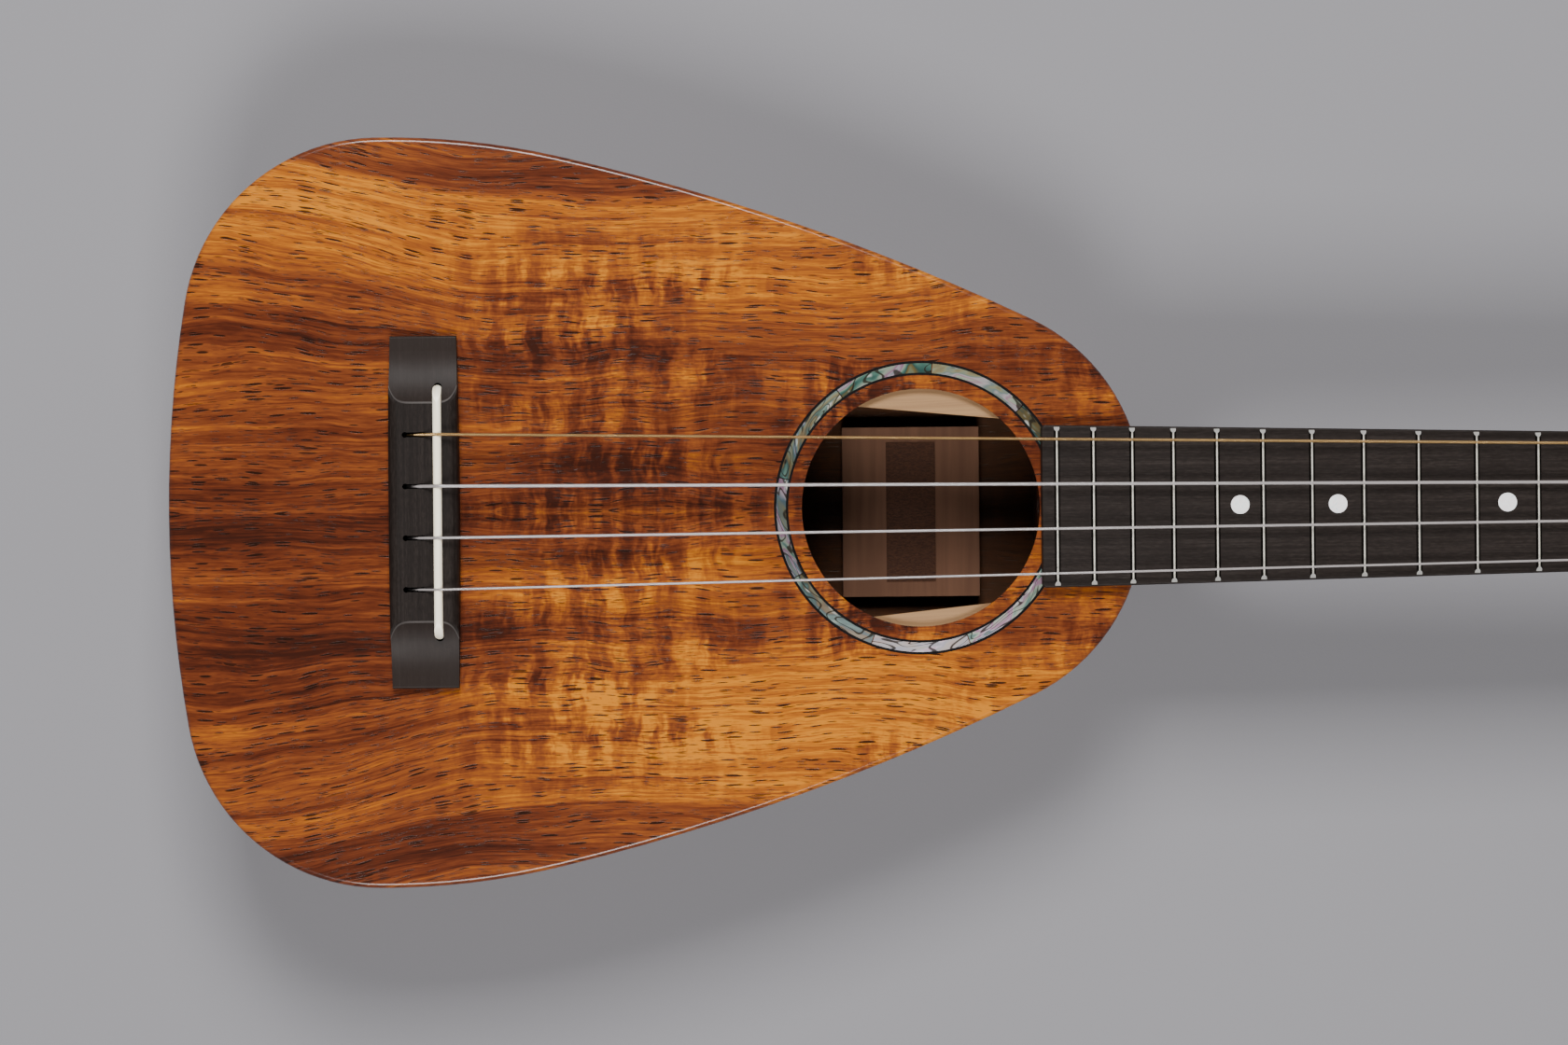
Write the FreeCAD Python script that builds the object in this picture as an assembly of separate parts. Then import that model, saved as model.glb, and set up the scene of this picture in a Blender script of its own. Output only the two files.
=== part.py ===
"""Tenor ukulele with a tapered travel body, a string-through bridge and open-gear tuners.

Units are millimetres. The back lies on z = 0 and +Z points out of the soundboard. X runs along the
neck towards the headstock, with x = 0 at the theoretical saddle line, so fret n stands at
SCALE / 2 ** (n / 12). +Y is the bass side, where the fourth string (G) lies.
"""

import math
import os

import FreeCAD
import Part

V = FreeCAD.Vector
X_AXIS = V(1, 0, 0)
Y_AXIS = V(0, 1, 0)
Z_AXIS = V(0, 0, 1)

# --- driving dimensions: body ---------------------------------------------------------------------
SCALE = 432.0
BODY_DEPTH = 68.0
TAIL_X = -76.9
BODY_END_X = SCALE / 2 ** (14 / 12)
# Half outline from the tail to the shoulder, as tangent arcs: radius and the angle each one turns.
TAIL_ARC = (357.0, 9.6)
CORNER_ARC = (54.7, 79.7)
HIP_ARC = (213.0, 13.9)
SIDE_ARC = (641.0, 12.6)
SHOULDER_R = 54.0
TOP_T = 2.2
BACK_T = 2.4
SIDE_T = 2.0
EDGE_ROUND = 1.4
LINING_W = 4.5
LINING_H = 6.0
BRACE_GAP = 0.1
NECK_BLOCK_X = 169.0
NECK_BLOCK_HALF_W = 32.0
TAIL_BLOCK_LENGTH = 20.0
TAIL_BLOCK_HALF_W = 52.0
TOP_Z = BODY_DEPTH
TOP_UNDER_Z = TOP_Z - TOP_T

# --- driving dimensions: soundhole and rosette -----------------------------------------------------
HOLE_X = 133.6
HOLE_R = 33.3
# Strips beside the hole: inner edge at the cross brace and at the neck block, then outer edge.
HOLE_STRIP_BASS_Y = (30.1, 23.6, 44.0)
HOLE_STRIP_TREBLE_Y = (-32.8, -25.2, -46.0)
HOLE_STRIP_T = 2.6
ROSETTE_DEPTH = 0.9
PURFLING_IN_R = (37.1, 37.75)
SHELL_R = (37.75, 40.4)
PURFLING_OUT_R = (40.4, 41.1)
ROSETTE_HIDDEN_DEG = 24.0
# Joint angles of the shell segments, counted from the neck end of the bass side.
SHELL_JOINTS_DEG = (24, 44.6, 85, 125, 167.5, 208.5, 249.5, 289.5, 330, 336)
SHELL_JOINT_GAP = 0.25

# --- driving dimensions: strings, bridge, nut ------------------------------------------------------
SADDLE_X = -0.8
SADDLE_T = 2.3
SADDLE_HALF_L = 35.4
SADDLE_END_R = 5.4
STRING_HOLE_X = -9.9
STRING_HOLE_R = 0.8
# A string leans on the front wall of its hole.
STRING_LEAN = 0.3
RAMP_HALF_W = 0.65
STRING_SPREAD_SADDLE = 43.1
STRING_SPREAD_NUT = 28.5
# name, radius, place across the neck from +1.5 (bass) to -1.5, in string gaps
STRINGS = (("g", 0.40, 1.5), ("c", 0.46, 0.5), ("e", 0.38, -0.5), ("a", 0.32, -1.5))
BRIDGE_X = (-14.8, 4.8)
BRIDGE_HALF_L = 49.2
BRIDGE_BLOCK_HALF_L = 30.5
BRIDGE_H = 7.6
BRIDGE_WING_H = 3.2
BRIDGE_SCOOP_END = 45.0
BRIDGE_EDGE_R = 2.9
BRIDGE_END_R = 0.6
BRIDGE_BARREL = 0.55
SLOT_FLOOR_H = 2.2
SLOT_SPARE = 0.6
STRING_EXIT_H = 4.6
KNOT_R = 2.0

# --- driving dimensions: fretboard and frets -------------------------------------------------------
BOARD_START_X = 167.2
BOARD_HALF_W_START = 22.7
BOARD_HALF_W_NUT = 17.1
BOARD_T = 5.0
BOARD_TOP_Z = TOP_Z + BOARD_T
FRET_COUNT = 16
FRET_W = 1.5
FRET_H = 1.0
FRET_INSET = 0.5
FRET_BEVEL_DEG = 50.0
TANG_W = 0.5
TANG_D = 1.6
DOT_FRETS = (5, 7, 10, 12)
DOT_R = 2.6
DOT_T = 1.0
SIDE_DOT_R = 1.0
NUT_T = 4.8
NUT_SLOT_Z = BOARD_TOP_Z + 1.5
ACTION_AT_12 = 2.4

# --- driving dimensions: neck and headstock --------------------------------------------------------
SHAFT_DEPTH_HEEL = 15.0
SHAFT_DEPTH_NUT = 13.0
# The heel curves about this line across the neck, which also marks the top of the heel cap.
HEEL_PIVOT = (236.0, 3.2)
HEEL_CURVE = (28.0, 49.8)
HEEL_TIP_HALF_W = 9.5
HEAD_TILT_DEG = 12.0
HEAD_CORE_T = 11.5
HEAD_VENEER_T = 1.8
HEAD_LENGTH = 114.0
HEAD_WIDE_HALF = 28.0
BOLT_R = 3.0
BOLT_HEAD_R = 4.8
BOLT_HEAD_L = 5.5
BOLT_HEIGHTS = (22.0, 47.0)
INSERT_R = 4.5
INSERT_L = 12.0

# --- driving dimensions: tuners --------------------------------------------------------------------
TEETH = 14
MODULE = 0.6
GEAR_PITCH_R = TEETH * MODULE / 2
GEAR_TIP_R = GEAR_PITCH_R + MODULE
GEAR_ROOT_R = GEAR_PITCH_R - 1.25 * MODULE
GEAR_W = 3.0
WORM_PITCH = math.pi * MODULE
WORM_PITCH_R = 2.1
WORM_TIP_R = WORM_PITCH_R + MODULE
WORM_CORE_R = WORM_PITCH_R - 1.25 * MODULE
WORM_TOOTH_W = 0.8
WORM_HALF_L = 3.8
FLANK = math.tan(math.radians(20))
LEAD = math.atan(WORM_PITCH / (2 * math.pi * WORM_PITCH_R))
CENTRE_DISTANCE = GEAR_PITCH_R + WORM_PITCH_R
POST_NEAR = (32.0, 16.5)
POST_FAR = (78.0, 17.5)
POST_R = 3.0
POST_WAIST_R = 2.7
POST_ABOVE_VENEER = 11.0
BUSH_R = 4.0
BUSH_FLANGE_R = 5.2
BUSH_FLANGE_T = 1.2
BUSH_L = 7.8
RUNNING_CLEARANCE = 0.05
PLATE_T = 1.0
PLATE_A = (-11.0, 15.5)
PLATE_HALF_W = 6.0
EAR_B = (4.4, 5.6)
EAR_HALF_W = 3.0
SCREW_A = (-8.0, 12.6)
SCREW_R = 1.1
SCREW_HEAD_R = 2.1
SCREW_L = 9.0
GEAR_LIFT = 2.4
BUTTON_B = (13.5, 25.5)
BUTTON_HALF_W = 7.5
BUTTON_HALF_T = 3.2
WINDING_LOW = 3.6
WINDING_TURNS = 3.5


# --- small helpers ---------------------------------------------------------------------------------
def box(low, high):
    """Axis-aligned box between two corners."""
    size = [h - l for l, h in zip(low, high)]
    return Part.makeBox(*size, V(*low))


def cylinder(radius, start, direction, length):
    return Part.makeCylinder(radius, length, V(*start), direction)


def prism(wire, z_low, z_high):
    """Closed planar wire in the XY plane, extruded between two heights."""
    face = Part.Face(wire)
    face.translate(V(0, 0, z_low))
    return face.extrude(V(0, 0, z_high - z_low))


def polygon(points):
    return Part.makePolygon([V(*p) for p in points] + [V(*points[0])])


def arc(start, middle, end):
    return Part.Arc(V(*start), V(*middle), V(*end)).toShape()


def line(start, end):
    return Part.LineSegment(V(*start), V(*end)).toShape()


def ring(radii, z_low, z_high, centre=(HOLE_X, 0)):
    outer = cylinder(radii[1], (*centre, z_low), Z_AXIS, z_high - z_low)
    return outer.cut(cylinder(radii[0], (*centre, z_low), Z_AXIS, z_high - z_low))


def group(shapes):
    """Several separate solids as one node."""
    return Part.makeCompound([s for shape in shapes for s in shape.Solids])


def half_space(side, reach=400.0):
    """A large box on the +Y (side = 1) or -Y (side = -1) half."""
    low_y, high_y = (0, reach) if side > 0 else (-reach, 0)
    return box((-reach, low_y, -reach), (2 * reach, high_y, reach))


def fret_x(number):
    return SCALE / 2 ** (number / 12)


def board_half_width(x):
    share = (x - BOARD_START_X) / (SCALE - BOARD_START_X)
    return BOARD_HALF_W_START + share * (BOARD_HALF_W_NUT - BOARD_HALF_W_START)


# --- body outline ----------------------------------------------------------------------------------
def half_outline(inset):
    """Tangent arcs of the bass half, from the tail to the neck end, each as three points."""
    end_x = BODY_END_X - inset
    x, y, heading = TAIL_X + inset, 0.0, math.pi / 2
    arcs = []
    for radius, degrees in (TAIL_ARC, CORNER_ARC, HIP_ARC, SIDE_ARC, (SHOULDER_R, None)):
        r = radius - inset
        cx = x + r * math.sin(heading)
        cy = y - r * math.cos(heading)
        if degrees is None:
            turn = heading - math.asin((cx - end_x) / r)
        else:
            turn = math.radians(degrees)
        points = []
        for share in (0, 0.5, 1):
            h = heading - share * turn
            points.append((cx - r * math.sin(h), cy + r * math.cos(h), 0))
        arcs.append(points)
        heading -= turn
        x, y = points[2][0], points[2][1]
    return arcs


def outline(inset=0.0):
    """The closed body outline, moved inwards by inset."""
    bass = half_outline(inset)
    treble = [[(p[0], -p[1], 0) for p in points] for points in bass]
    edges = [arc(*points) for points in treble + bass]
    end = bass[-1][2]
    edges.append(line(end, (end[0], -end[1], 0)))
    return Part.Wire(Part.__sortEdges__(edges))


def outline_prism(inset, z_low, z_high):
    return prism(outline(inset), z_low, z_high)


def round_rim(plate, z):
    """Rounds the rim of a plate at height z, except where the neck meets it."""
    edges = []
    for edge in plate.Edges:
        box_ = edge.BoundBox
        at_height = abs(box_.ZMin - z) < 1e-6 and abs(box_.ZMax - z) < 1e-6
        if at_height and box_.XMin < BODY_END_X - 1:
            edges.append(edge)
    return plate.makeFillet(EDGE_ROUND, edges)


# --- string geometry -------------------------------------------------------------------------------
def string_y(place, spread):
    return place * spread / 3


def string_bottom_z(x):
    """Height of a string's underside between the nut and the saddle."""
    at_12 = BOARD_TOP_Z + FRET_H + ACTION_AT_12
    slope = (at_12 - NUT_SLOT_Z) / (SCALE - SCALE / 2)
    return NUT_SLOT_Z + slope * (SCALE - x)


def rounded_path(points, radii):
    """Straight runs joined by tangent arcs."""
    pts = [V(*p) for p in points]
    edges = []
    here = pts[0]
    for before, corner, after, radius in zip(pts, pts[1:], pts[2:], radii):
        d_in = (before - corner).normalize()
        d_out = (after - corner).normalize()
        half = math.acos(max(-1.0, min(1.0, d_in.dot(d_out)))) / 2
        reach = radius / math.tan(half)
        start = corner + d_in * reach
        end = corner + d_out * reach
        middle_dir = (d_in + d_out).normalize()
        middle = corner + middle_dir * (radius / math.sin(half) - radius)
        edges.append(Part.LineSegment(here, start).toShape())
        edges.append(Part.Arc(start, middle, end).toShape())
        here = end
    edges.append(Part.LineSegment(here, pts[-1]).toShape())
    return Part.Wire(edges)


def tube(path, radius):
    """A round section swept along a path of lines and arcs."""
    first = path.Edges[0]
    start = first.valueAt(first.FirstParameter)
    direction = first.tangentAt(first.FirstParameter)
    circle = Part.Wire(Part.makeCircle(radius, start, direction))
    return path.makePipeShell([circle], True, True, 2)


# --- headstock frame -------------------------------------------------------------------------------
TILT = math.radians(HEAD_TILT_DEG)
HEAD_X = V(math.cos(TILT), 0, -math.sin(TILT))
HEAD_Z = V(math.sin(TILT), 0, math.cos(TILT))
HEAD_ORIGIN = V(SCALE + NUT_T, 0, TOP_Z)


def head_point(along, across, height):
    """A point in the headstock's frame: along the head, across it, and above its wooden face."""
    return HEAD_ORIGIN + HEAD_X * along + V(0, across, 0) + HEAD_Z * height


def to_head(shape, along=0.0, across=0.0, height=0.0, mirror=False):
    """Places a shape modelled at the origin onto the headstock."""
    placed = shape.copy()
    if mirror:
        placed = placed.mirror(V(0, 0, 0), Y_AXIS)
    placed.rotate(V(0, 0, 0), Y_AXIS, HEAD_TILT_DEG)
    placed.translate(head_point(along, across, height))
    return placed


def tuners():
    """Name, position on the head, and whether the tuner is the mirrored treble one."""
    (near_x, near_y), (far_x, far_y) = POST_NEAR, POST_FAR
    return (
        ("g", near_x, near_y, False),
        ("c", far_x, far_y, False),
        ("e", far_x, -far_y, True),
        ("a", near_x, -near_y, True),
    )


# --- body parts ------------------------------------------------------------------------------------
def string_holes(z_low, z_high):
    holes = []
    for _, _, place in STRINGS:
        y = string_y(place, STRING_SPREAD_SADDLE)
        holes.append(cylinder(STRING_HOLE_R, (STRING_HOLE_X, y, z_low), Z_AXIS, z_high - z_low))
    return holes


def make_top():
    plate = outline_prism(0, TOP_UNDER_Z, TOP_Z)
    plate = round_rim(plate, TOP_Z)
    plate = plate.cut(cylinder(HOLE_R, (HOLE_X, 0, 0), Z_AXIS, 2 * BODY_DEPTH))
    plate = plate.cut(rosette_band((PURFLING_IN_R[0], PURFLING_OUT_R[1])))
    plate = plate.cut(string_holes(TOP_UNDER_Z - 1, TOP_Z + 1))
    return {
        "top_bass_half": plate.common(half_space(1)),
        "top_treble_half": plate.common(half_space(-1)),
    }


def make_back():
    plate = round_rim(outline_prism(0, 0, BACK_T), 0)
    return {
        "back_bass_half": plate.common(half_space(1)),
        "back_treble_half": plate.common(half_space(-1)),
    }


def make_sides():
    wall = outline_prism(0, BACK_T, TOP_UNDER_Z).cut(outline_prism(SIDE_T, BACK_T, TOP_UNDER_Z))
    # The neck bolts pass through the sides' meeting ends.
    wall = wall.cut(bolt_bores(BOLT_R))
    return {
        "side_bass": wall.common(half_space(1)),
        "side_treble": wall.common(half_space(-1)),
    }


def block_boxes():
    neck = box((NECK_BLOCK_X, -NECK_BLOCK_HALF_W, 0), (BODY_END_X, NECK_BLOCK_HALF_W, BODY_DEPTH))
    tail_end = TAIL_X + SIDE_T + TAIL_BLOCK_LENGTH
    tail = box((TAIL_X, -TAIL_BLOCK_HALF_W, 0), (tail_end, TAIL_BLOCK_HALF_W, BODY_DEPTH))
    return neck, tail


def bolt_bores(radius, x_low=NECK_BLOCK_X - 2, x_high=BODY_END_X + INSERT_L + 8):
    return [cylinder(radius, (x_low, 0, z), X_AXIS, x_high - x_low) for z in BOLT_HEIGHTS]


def make_blocks():
    neck_box, tail_box = block_boxes()
    inside = outline_prism(SIDE_T, BACK_T, TOP_UNDER_Z)
    neck = neck_box.common(inside).cut(bolt_bores(BOLT_R))
    counterbore = bolt_bores(BOLT_HEAD_R + 0.4, NECK_BLOCK_X - 1, NECK_BLOCK_X + BOLT_HEAD_L + 0.5)
    return {"neck_block": neck.cut(counterbore), "tail_block": tail_box.common(inside)}


def make_linings():
    neck_box, tail_box = block_boxes()
    strips = []
    for low, high in ((BACK_T, BACK_T + LINING_H), (TOP_UNDER_Z - LINING_H, TOP_UNDER_Z)):
        band = outline_prism(SIDE_T, low, high).cut(outline_prism(SIDE_T + LINING_W, low, high))
        strips.append(band.cut([neck_box, tail_box]))
    return {"kerfed_linings": group(strips)}


def brace(start, end, width, height, under, trim):
    """A gabled brace under the top (under = 1) or on the back (under = -1), tapered at both ends."""
    x1, y1 = start
    x2, y2 = end
    length = math.hypot(x2 - x1, y2 - y1)
    w = width / 2
    taper = min(22.0, length / 4)
    low = height * 0.3
    side = [(0, 0), (0, low), (taper, height), (length - taper, height), (length, low), (length, 0)]
    body = Part.Face(polygon([(x, -w, z) for x, z in side])).extrude(V(0, width, 0))
    shoulder = height * 0.55
    gable = [(-w, 0), (-w, shoulder), (-w / 4, height), (w / 4, height), (w, shoulder), (w, 0)]
    body = body.common(Part.Face(polygon([(0, y, z) for y, z in gable])).extrude(V(length, 0, 0)))
    if under > 0:
        body = body.mirror(V(0, 0, 0), Z_AXIS)
    body.rotate(V(0, 0, 0), Z_AXIS, math.degrees(math.atan2(y2 - y1, x2 - x1)))
    body.translate(V(x1, y1, TOP_UNDER_Z if under > 0 else BACK_T))
    return body.common(trim)


def make_braces():
    room = outline_prism(SIDE_T + LINING_W + BRACE_GAP, BACK_T, TOP_UNDER_Z)
    plate_low = TOP_UNDER_Z - 2.0
    patch = box((-24, -50, plate_low), (12, 50, TOP_UNDER_Z))
    cross_x = 93.0
    fans = []
    for y_near, y_far in ((0, 0), (24, 50), (-24, -50)):
        fans.append(brace((cross_x - 6, y_near), (-53, y_far), 6.0, 7.0, 1, room).cut(patch))
    cross = brace((cross_x, -90), (cross_x, 90), 9.0, 11.0, 1, room)
    x0, x1 = cross_x + 6, NECK_BLOCK_X
    hole_braces = []
    # Flat strips beside the soundhole; their inner edges close in on the way to the neck block.
    for near, far, outer in (HOLE_STRIP_BASS_Y, HOLE_STRIP_TREBLE_Y):
        strip = polygon([(x0, near, 0), (x1, far, 0), (x1, outer, 0), (x0, outer, 0)])
        hole_braces.append(prism(strip, TOP_UNDER_Z - HOLE_STRIP_T, TOP_UNDER_Z).common(room))
    backs = [brace((x, -110), (x, 110), 8.0, 9.0, -1, room) for x in (-20.0, 38.0, 96.0)]
    return {
        "bridge_plate": patch.cut(string_holes(plate_low - 1, TOP_Z)),
        "fan_braces": group(fans),
        "cross_brace": cross,
        "soundhole_braces": group(hole_braces),
        "back_braces": group(backs),
    }


def make_label():
    centre_x, half_x, half_y, thickness = 132.5, 20.0, 24.8, 7.0
    face_z = BACK_T + thickness
    plaque = box((centre_x - half_x, -half_y - 1, BACK_T), (centre_x + half_x, half_y - 1, face_z))
    panel = box((centre_x - 7.2, -21.5, face_z - 0.4), (centre_x + 7.2, 19.5, face_z + 10))
    return {"label_plaque": plaque.cut(panel)}


# --- rosette ---------------------------------------------------------------------------------------
def sector(start_deg, end_deg, radius=60.0, z_low=60.0, z_high=75.0):
    """A pie slice about the soundhole's centre, angles counted from +X."""
    tool = Part.makeCylinder(radius, z_high - z_low, V(0, 0, z_low), Z_AXIS, end_deg - start_deg)
    tool.rotate(V(0, 0, 0), Z_AXIS, start_deg)
    tool.translate(V(HOLE_X, 0, 0))
    return tool


def rosette_band(radii):
    band = ring(radii, TOP_Z - ROSETTE_DEPTH, TOP_Z)
    return band.common(sector(ROSETTE_HIDDEN_DEG, 360 - ROSETTE_HIDDEN_DEG))


def make_rosette():
    shell = rosette_band(SHELL_R)
    gap = math.degrees(SHELL_JOINT_GAP / SHELL_R[0]) / 2
    pieces = []
    for start, end in zip(SHELL_JOINTS_DEG, SHELL_JOINTS_DEG[1:]):
        pieces.append(shell.common(sector(start + gap, end - gap)))
    return {
        "rosette_shell": group(pieces),
        "rosette_purfling": group([rosette_band(PURFLING_IN_R), rosette_band(PURFLING_OUT_R)]),
    }


# --- bridge, saddle, strings -----------------------------------------------------------------------
def string_route(name, radius, place):
    """Centreline of one string from its knot to where it meets the winding on its post."""
    y_saddle = string_y(place, STRING_SPREAD_SADDLE)
    y_nut = string_y(place, STRING_SPREAD_NUT)
    along, across, mirrored = next(t[1:] for t in tuners() if t[0] == name)
    inner = across - math.copysign(POST_WAIST_R + radius, across)
    # The string runs onto the lowest turn, so that the windings pull it down over the nut.
    target = head_point(along, inner, HEAD_VENEER_T + WINDING_LOW + radius)
    nut_top = V(SCALE + 0.6, y_nut, string_bottom_z(SCALE) + radius)
    # The string stops short of the post, where it would enter the turning winding.
    outside = POST_WAIST_R + 2 * radius + 0.15
    gap = math.sqrt(outside**2 - POST_WAIST_R**2)
    end = target + (nut_top - target).normalize() * gap
    return [
        (STRING_HOLE_X + STRING_LEAN, y_saddle, TOP_UNDER_Z - 2.0 - 1.83),
        (STRING_HOLE_X + STRING_LEAN, y_saddle, TOP_Z + STRING_EXIT_H),
        (SADDLE_X, y_saddle, string_bottom_z(SADDLE_X) + radius),
        tuple(nut_top),
        tuple(end),
    ]


def make_string(name, radius, place):
    route = string_route(name, radius, place)
    wire = tube(rounded_path(route, (1.2, 2.5, 3.0)), radius)
    knot = Part.makeSphere(KNOT_R, V(STRING_HOLE_X, *route[0][1:]))
    return wire.fuse(knot)


def string_solids():
    return {name: make_string(name, radius, place) for name, radius, place in STRINGS}


def make_bridge(strings):
    x_low, x_high = BRIDGE_X
    z = TOP_Z
    long_ = BRIDGE_HALF_L
    # End view: a block whose long top edges are rounded.
    block = box((x_low, -long_, z), (x_high, long_, z + BRIDGE_H))
    long_edges = [e for e in block.Edges if e.BoundBox.YLength > long_ and e.BoundBox.ZMin > z + 1]
    block = block.makeFillet(BRIDGE_EDGE_R, long_edges)
    # Side view: the block, then on each side a scoop that runs out level in a flat wing.
    drop = BRIDGE_H - BRIDGE_WING_H
    reach = BRIDGE_SCOOP_END - BRIDGE_BLOCK_HALF_L
    scoop_r = (reach**2 + drop**2) / (2 * drop)
    half_turn = math.asin(reach / scoop_r) / 2
    scoop_y = BRIDGE_SCOOP_END - scoop_r * math.sin(half_turn)
    scoop_z = z + BRIDGE_WING_H + scoop_r * (1 - math.cos(half_turn))
    wing_z, top_z = z + BRIDGE_WING_H, z + BRIDGE_H
    r = BRIDGE_END_R
    bulge = r * (1 - math.sqrt(0.5))
    x0 = x_low - 2
    edges = [line((x0, -long_, z), (x0, long_, z))]
    for side in (1, -1):
        wing_end = (x0, side * BRIDGE_SCOOP_END, wing_z)
        block_end = (x0, side * BRIDGE_BLOCK_HALF_L, top_z)
        low, high = (x0, side * long_, wing_z - r), (x0, side * (long_ - r), wing_z)
        edges.append(line((x0, side * long_, z), low))
        edges.append(arc(low, (x0, side * (long_ - bulge), wing_z - bulge), high))
        edges.append(line(high, wing_end))
        edges.append(arc(wing_end, (x0, side * scoop_y, scoop_z), block_end))
    edges.append(line((x0, -BRIDGE_BLOCK_HALF_L, top_z), (x0, BRIDGE_BLOCK_HALF_L, top_z)))
    profile = Part.Wire(Part.__sortEdges__(edges))
    block = block.common(Part.Face(profile).extrude(V(x_high - x_low + 4, 0, 0)))
    # Plan view: the long sides bulge slightly.
    ends = x_low + BRIDGE_BARREL, x_high - BRIDGE_BARREL
    plan = Part.Wire([
        arc((ends[0], -long_, 0), (x_low, 0, 0), (ends[0], long_, 0)),
        line((ends[0], long_, 0), (ends[1], long_, 0)),
        arc((ends[1], long_, 0), (x_high, 0, 0), (ends[1], -long_, 0)),
        line((ends[1], -long_, 0), (ends[0], -long_, 0)),
    ])
    block = block.common(prism(plan, z, z + BRIDGE_H + 1))
    block = block.cut(saddle_plan(z + SLOT_FLOOR_H, z + 20, SLOT_SPARE))
    ramps = []
    for name, radius, place in STRINGS:
        route = string_route(name, radius, place)
        ramps.append(tube(rounded_path(route[:3], (1.2,)), STRING_HOLE_R))
        # The ramp is open above the string, from its hole to the saddle.
        y_low = route[1][1] - RAMP_HALF_W
        corners = [
            (STRING_HOLE_X, y_low, route[1][2]),
            (SADDLE_X, y_low, route[2][2]),
            (SADDLE_X, y_low, top_z + 5),
            (STRING_HOLE_X, y_low, top_z + 5),
        ]
        ramps.append(Part.Face(polygon(corners)).extrude(V(0, 2 * RAMP_HALF_W, 0)))
    return {"bridge": block.cut(ramps).cut(string_holes(z - 1, z + BRIDGE_H + 1))}


def saddle_plan(z_low, z_high, spare=0.0):
    """A bar with rounded ends, the plan of the saddle and, with spare length, of its slot."""
    half_t = SADDLE_T / 2
    straight = SADDLE_HALF_L + spare - half_t
    bar = box((SADDLE_X - half_t, -straight, z_low), (SADDLE_X + half_t, straight, z_high))
    ends = [cylinder(half_t, (SADDLE_X, y, z_low), Z_AXIS, z_high - z_low) for y in (straight, -straight)]
    return bar.fuse(ends).removeSplitter()


def make_saddle(strings):
    crest = string_bottom_z(SADDLE_X) + 0.15
    bar = saddle_plan(TOP_Z + SLOT_FLOOR_H, crest)
    # The top is rounded across its thickness and falls away at both ends.
    r = SADDLE_END_R
    y_flat = SADDLE_HALF_L - r
    x0 = SADDLE_X - SADDLE_T
    low = TOP_Z + SLOT_FLOOR_H
    end_drop = crest - r
    y_end = SADDLE_HALF_L
    y_mid = y_flat + r * math.sqrt(0.5)
    z_mid = end_drop + r * math.sqrt(0.5)
    side = Part.Wire([
        line((x0, -y_end, low), (x0, y_end, low)),
        line((x0, y_end, low), (x0, y_end, end_drop)),
        arc((x0, y_end, end_drop), (x0, y_mid, z_mid), (x0, y_flat, crest)),
        line((x0, y_flat, crest), (x0, -y_flat, crest)),
        arc((x0, -y_flat, crest), (x0, -y_mid, z_mid), (x0, -y_end, end_drop)),
        line((x0, -y_end, end_drop), (x0, -y_end, low)),
    ])
    bar = bar.common(Part.Face(side).extrude(V(2 * SADDLE_T, 0, 0)))
    left, right = SADDLE_X - SADDLE_T / 2, SADDLE_X + SADDLE_T / 2
    edge_z = crest - 0.8
    crown = Part.Wire([
        line((left, 50, low), (left, 50, edge_z)),
        arc((left, 50, edge_z), (SADDLE_X, 50, crest), (right, 50, edge_z)),
        line((right, 50, edge_z), (right, 50, low)),
        line((right, 50, low), (left, 50, low)),
    ])
    bar = bar.common(Part.Face(crown).extrude(V(0, -100, 0)))
    return {"saddle": bar.cut(list(strings.values()))}


# --- fretboard, frets, markers, nut ----------------------------------------------------------------
def board_blank():
    w0, w1 = BOARD_HALF_W_START, BOARD_HALF_W_NUT
    plan = polygon([(BOARD_START_X, -w0, 0), (SCALE, -w1, 0), (SCALE, w1, 0), (BOARD_START_X, w0, 0)])
    blank = prism(plan, TOP_Z, BOARD_TOP_Z)
    corners = [e for e in blank.Edges if e.BoundBox.ZLength > 1 and e.BoundBox.XMax < BOARD_START_X + 1]
    blank = blank.makeFillet(1.2, corners)
    rim = []
    for edge in blank.Edges:
        bb = edge.BoundBox
        if abs(bb.ZMin - BOARD_TOP_Z) < 1e-6 and bb.XMin < SCALE - 1:
            rim.append(edge)
    return blank.makeFillet(0.5, rim)


def marker_x(fret):
    return (fret_x(fret) + fret_x(fret - 1)) / 2


def make_fret(number):
    x = fret_x(number)
    half = board_half_width(x) - FRET_INSET
    z = BOARD_TOP_Z
    w, t = FRET_W / 2, TANG_W / 2
    section = Part.Wire([
        arc((x - w, -half, z), (x, -half, z + FRET_H), (x + w, -half, z)),
        line((x + w, -half, z), (x + t, -half, z)),
        line((x + t, -half, z), (x + t, -half, z - TANG_D)),
        line((x + t, -half, z - TANG_D), (x - t, -half, z - TANG_D)),
        line((x - t, -half, z - TANG_D), (x - t, -half, z)),
        line((x - t, -half, z), (x - w, -half, z)),
    ])
    wire = Part.Face(section).extrude(V(0, 2 * half, 0))
    lean = math.tan(math.radians(FRET_BEVEL_DEG))
    for side in (1, -1):
        y = side * half
        corners = [(y, z), (y - side * 2 * lean, z + 2), (y + side, z + 2), (y + side, z)]
        wedge = polygon([(x - 2, *corner) for corner in corners])
        wire = wire.cut(Part.Face(wedge).extrude(V(4, 0, 0)))
    return wire


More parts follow.
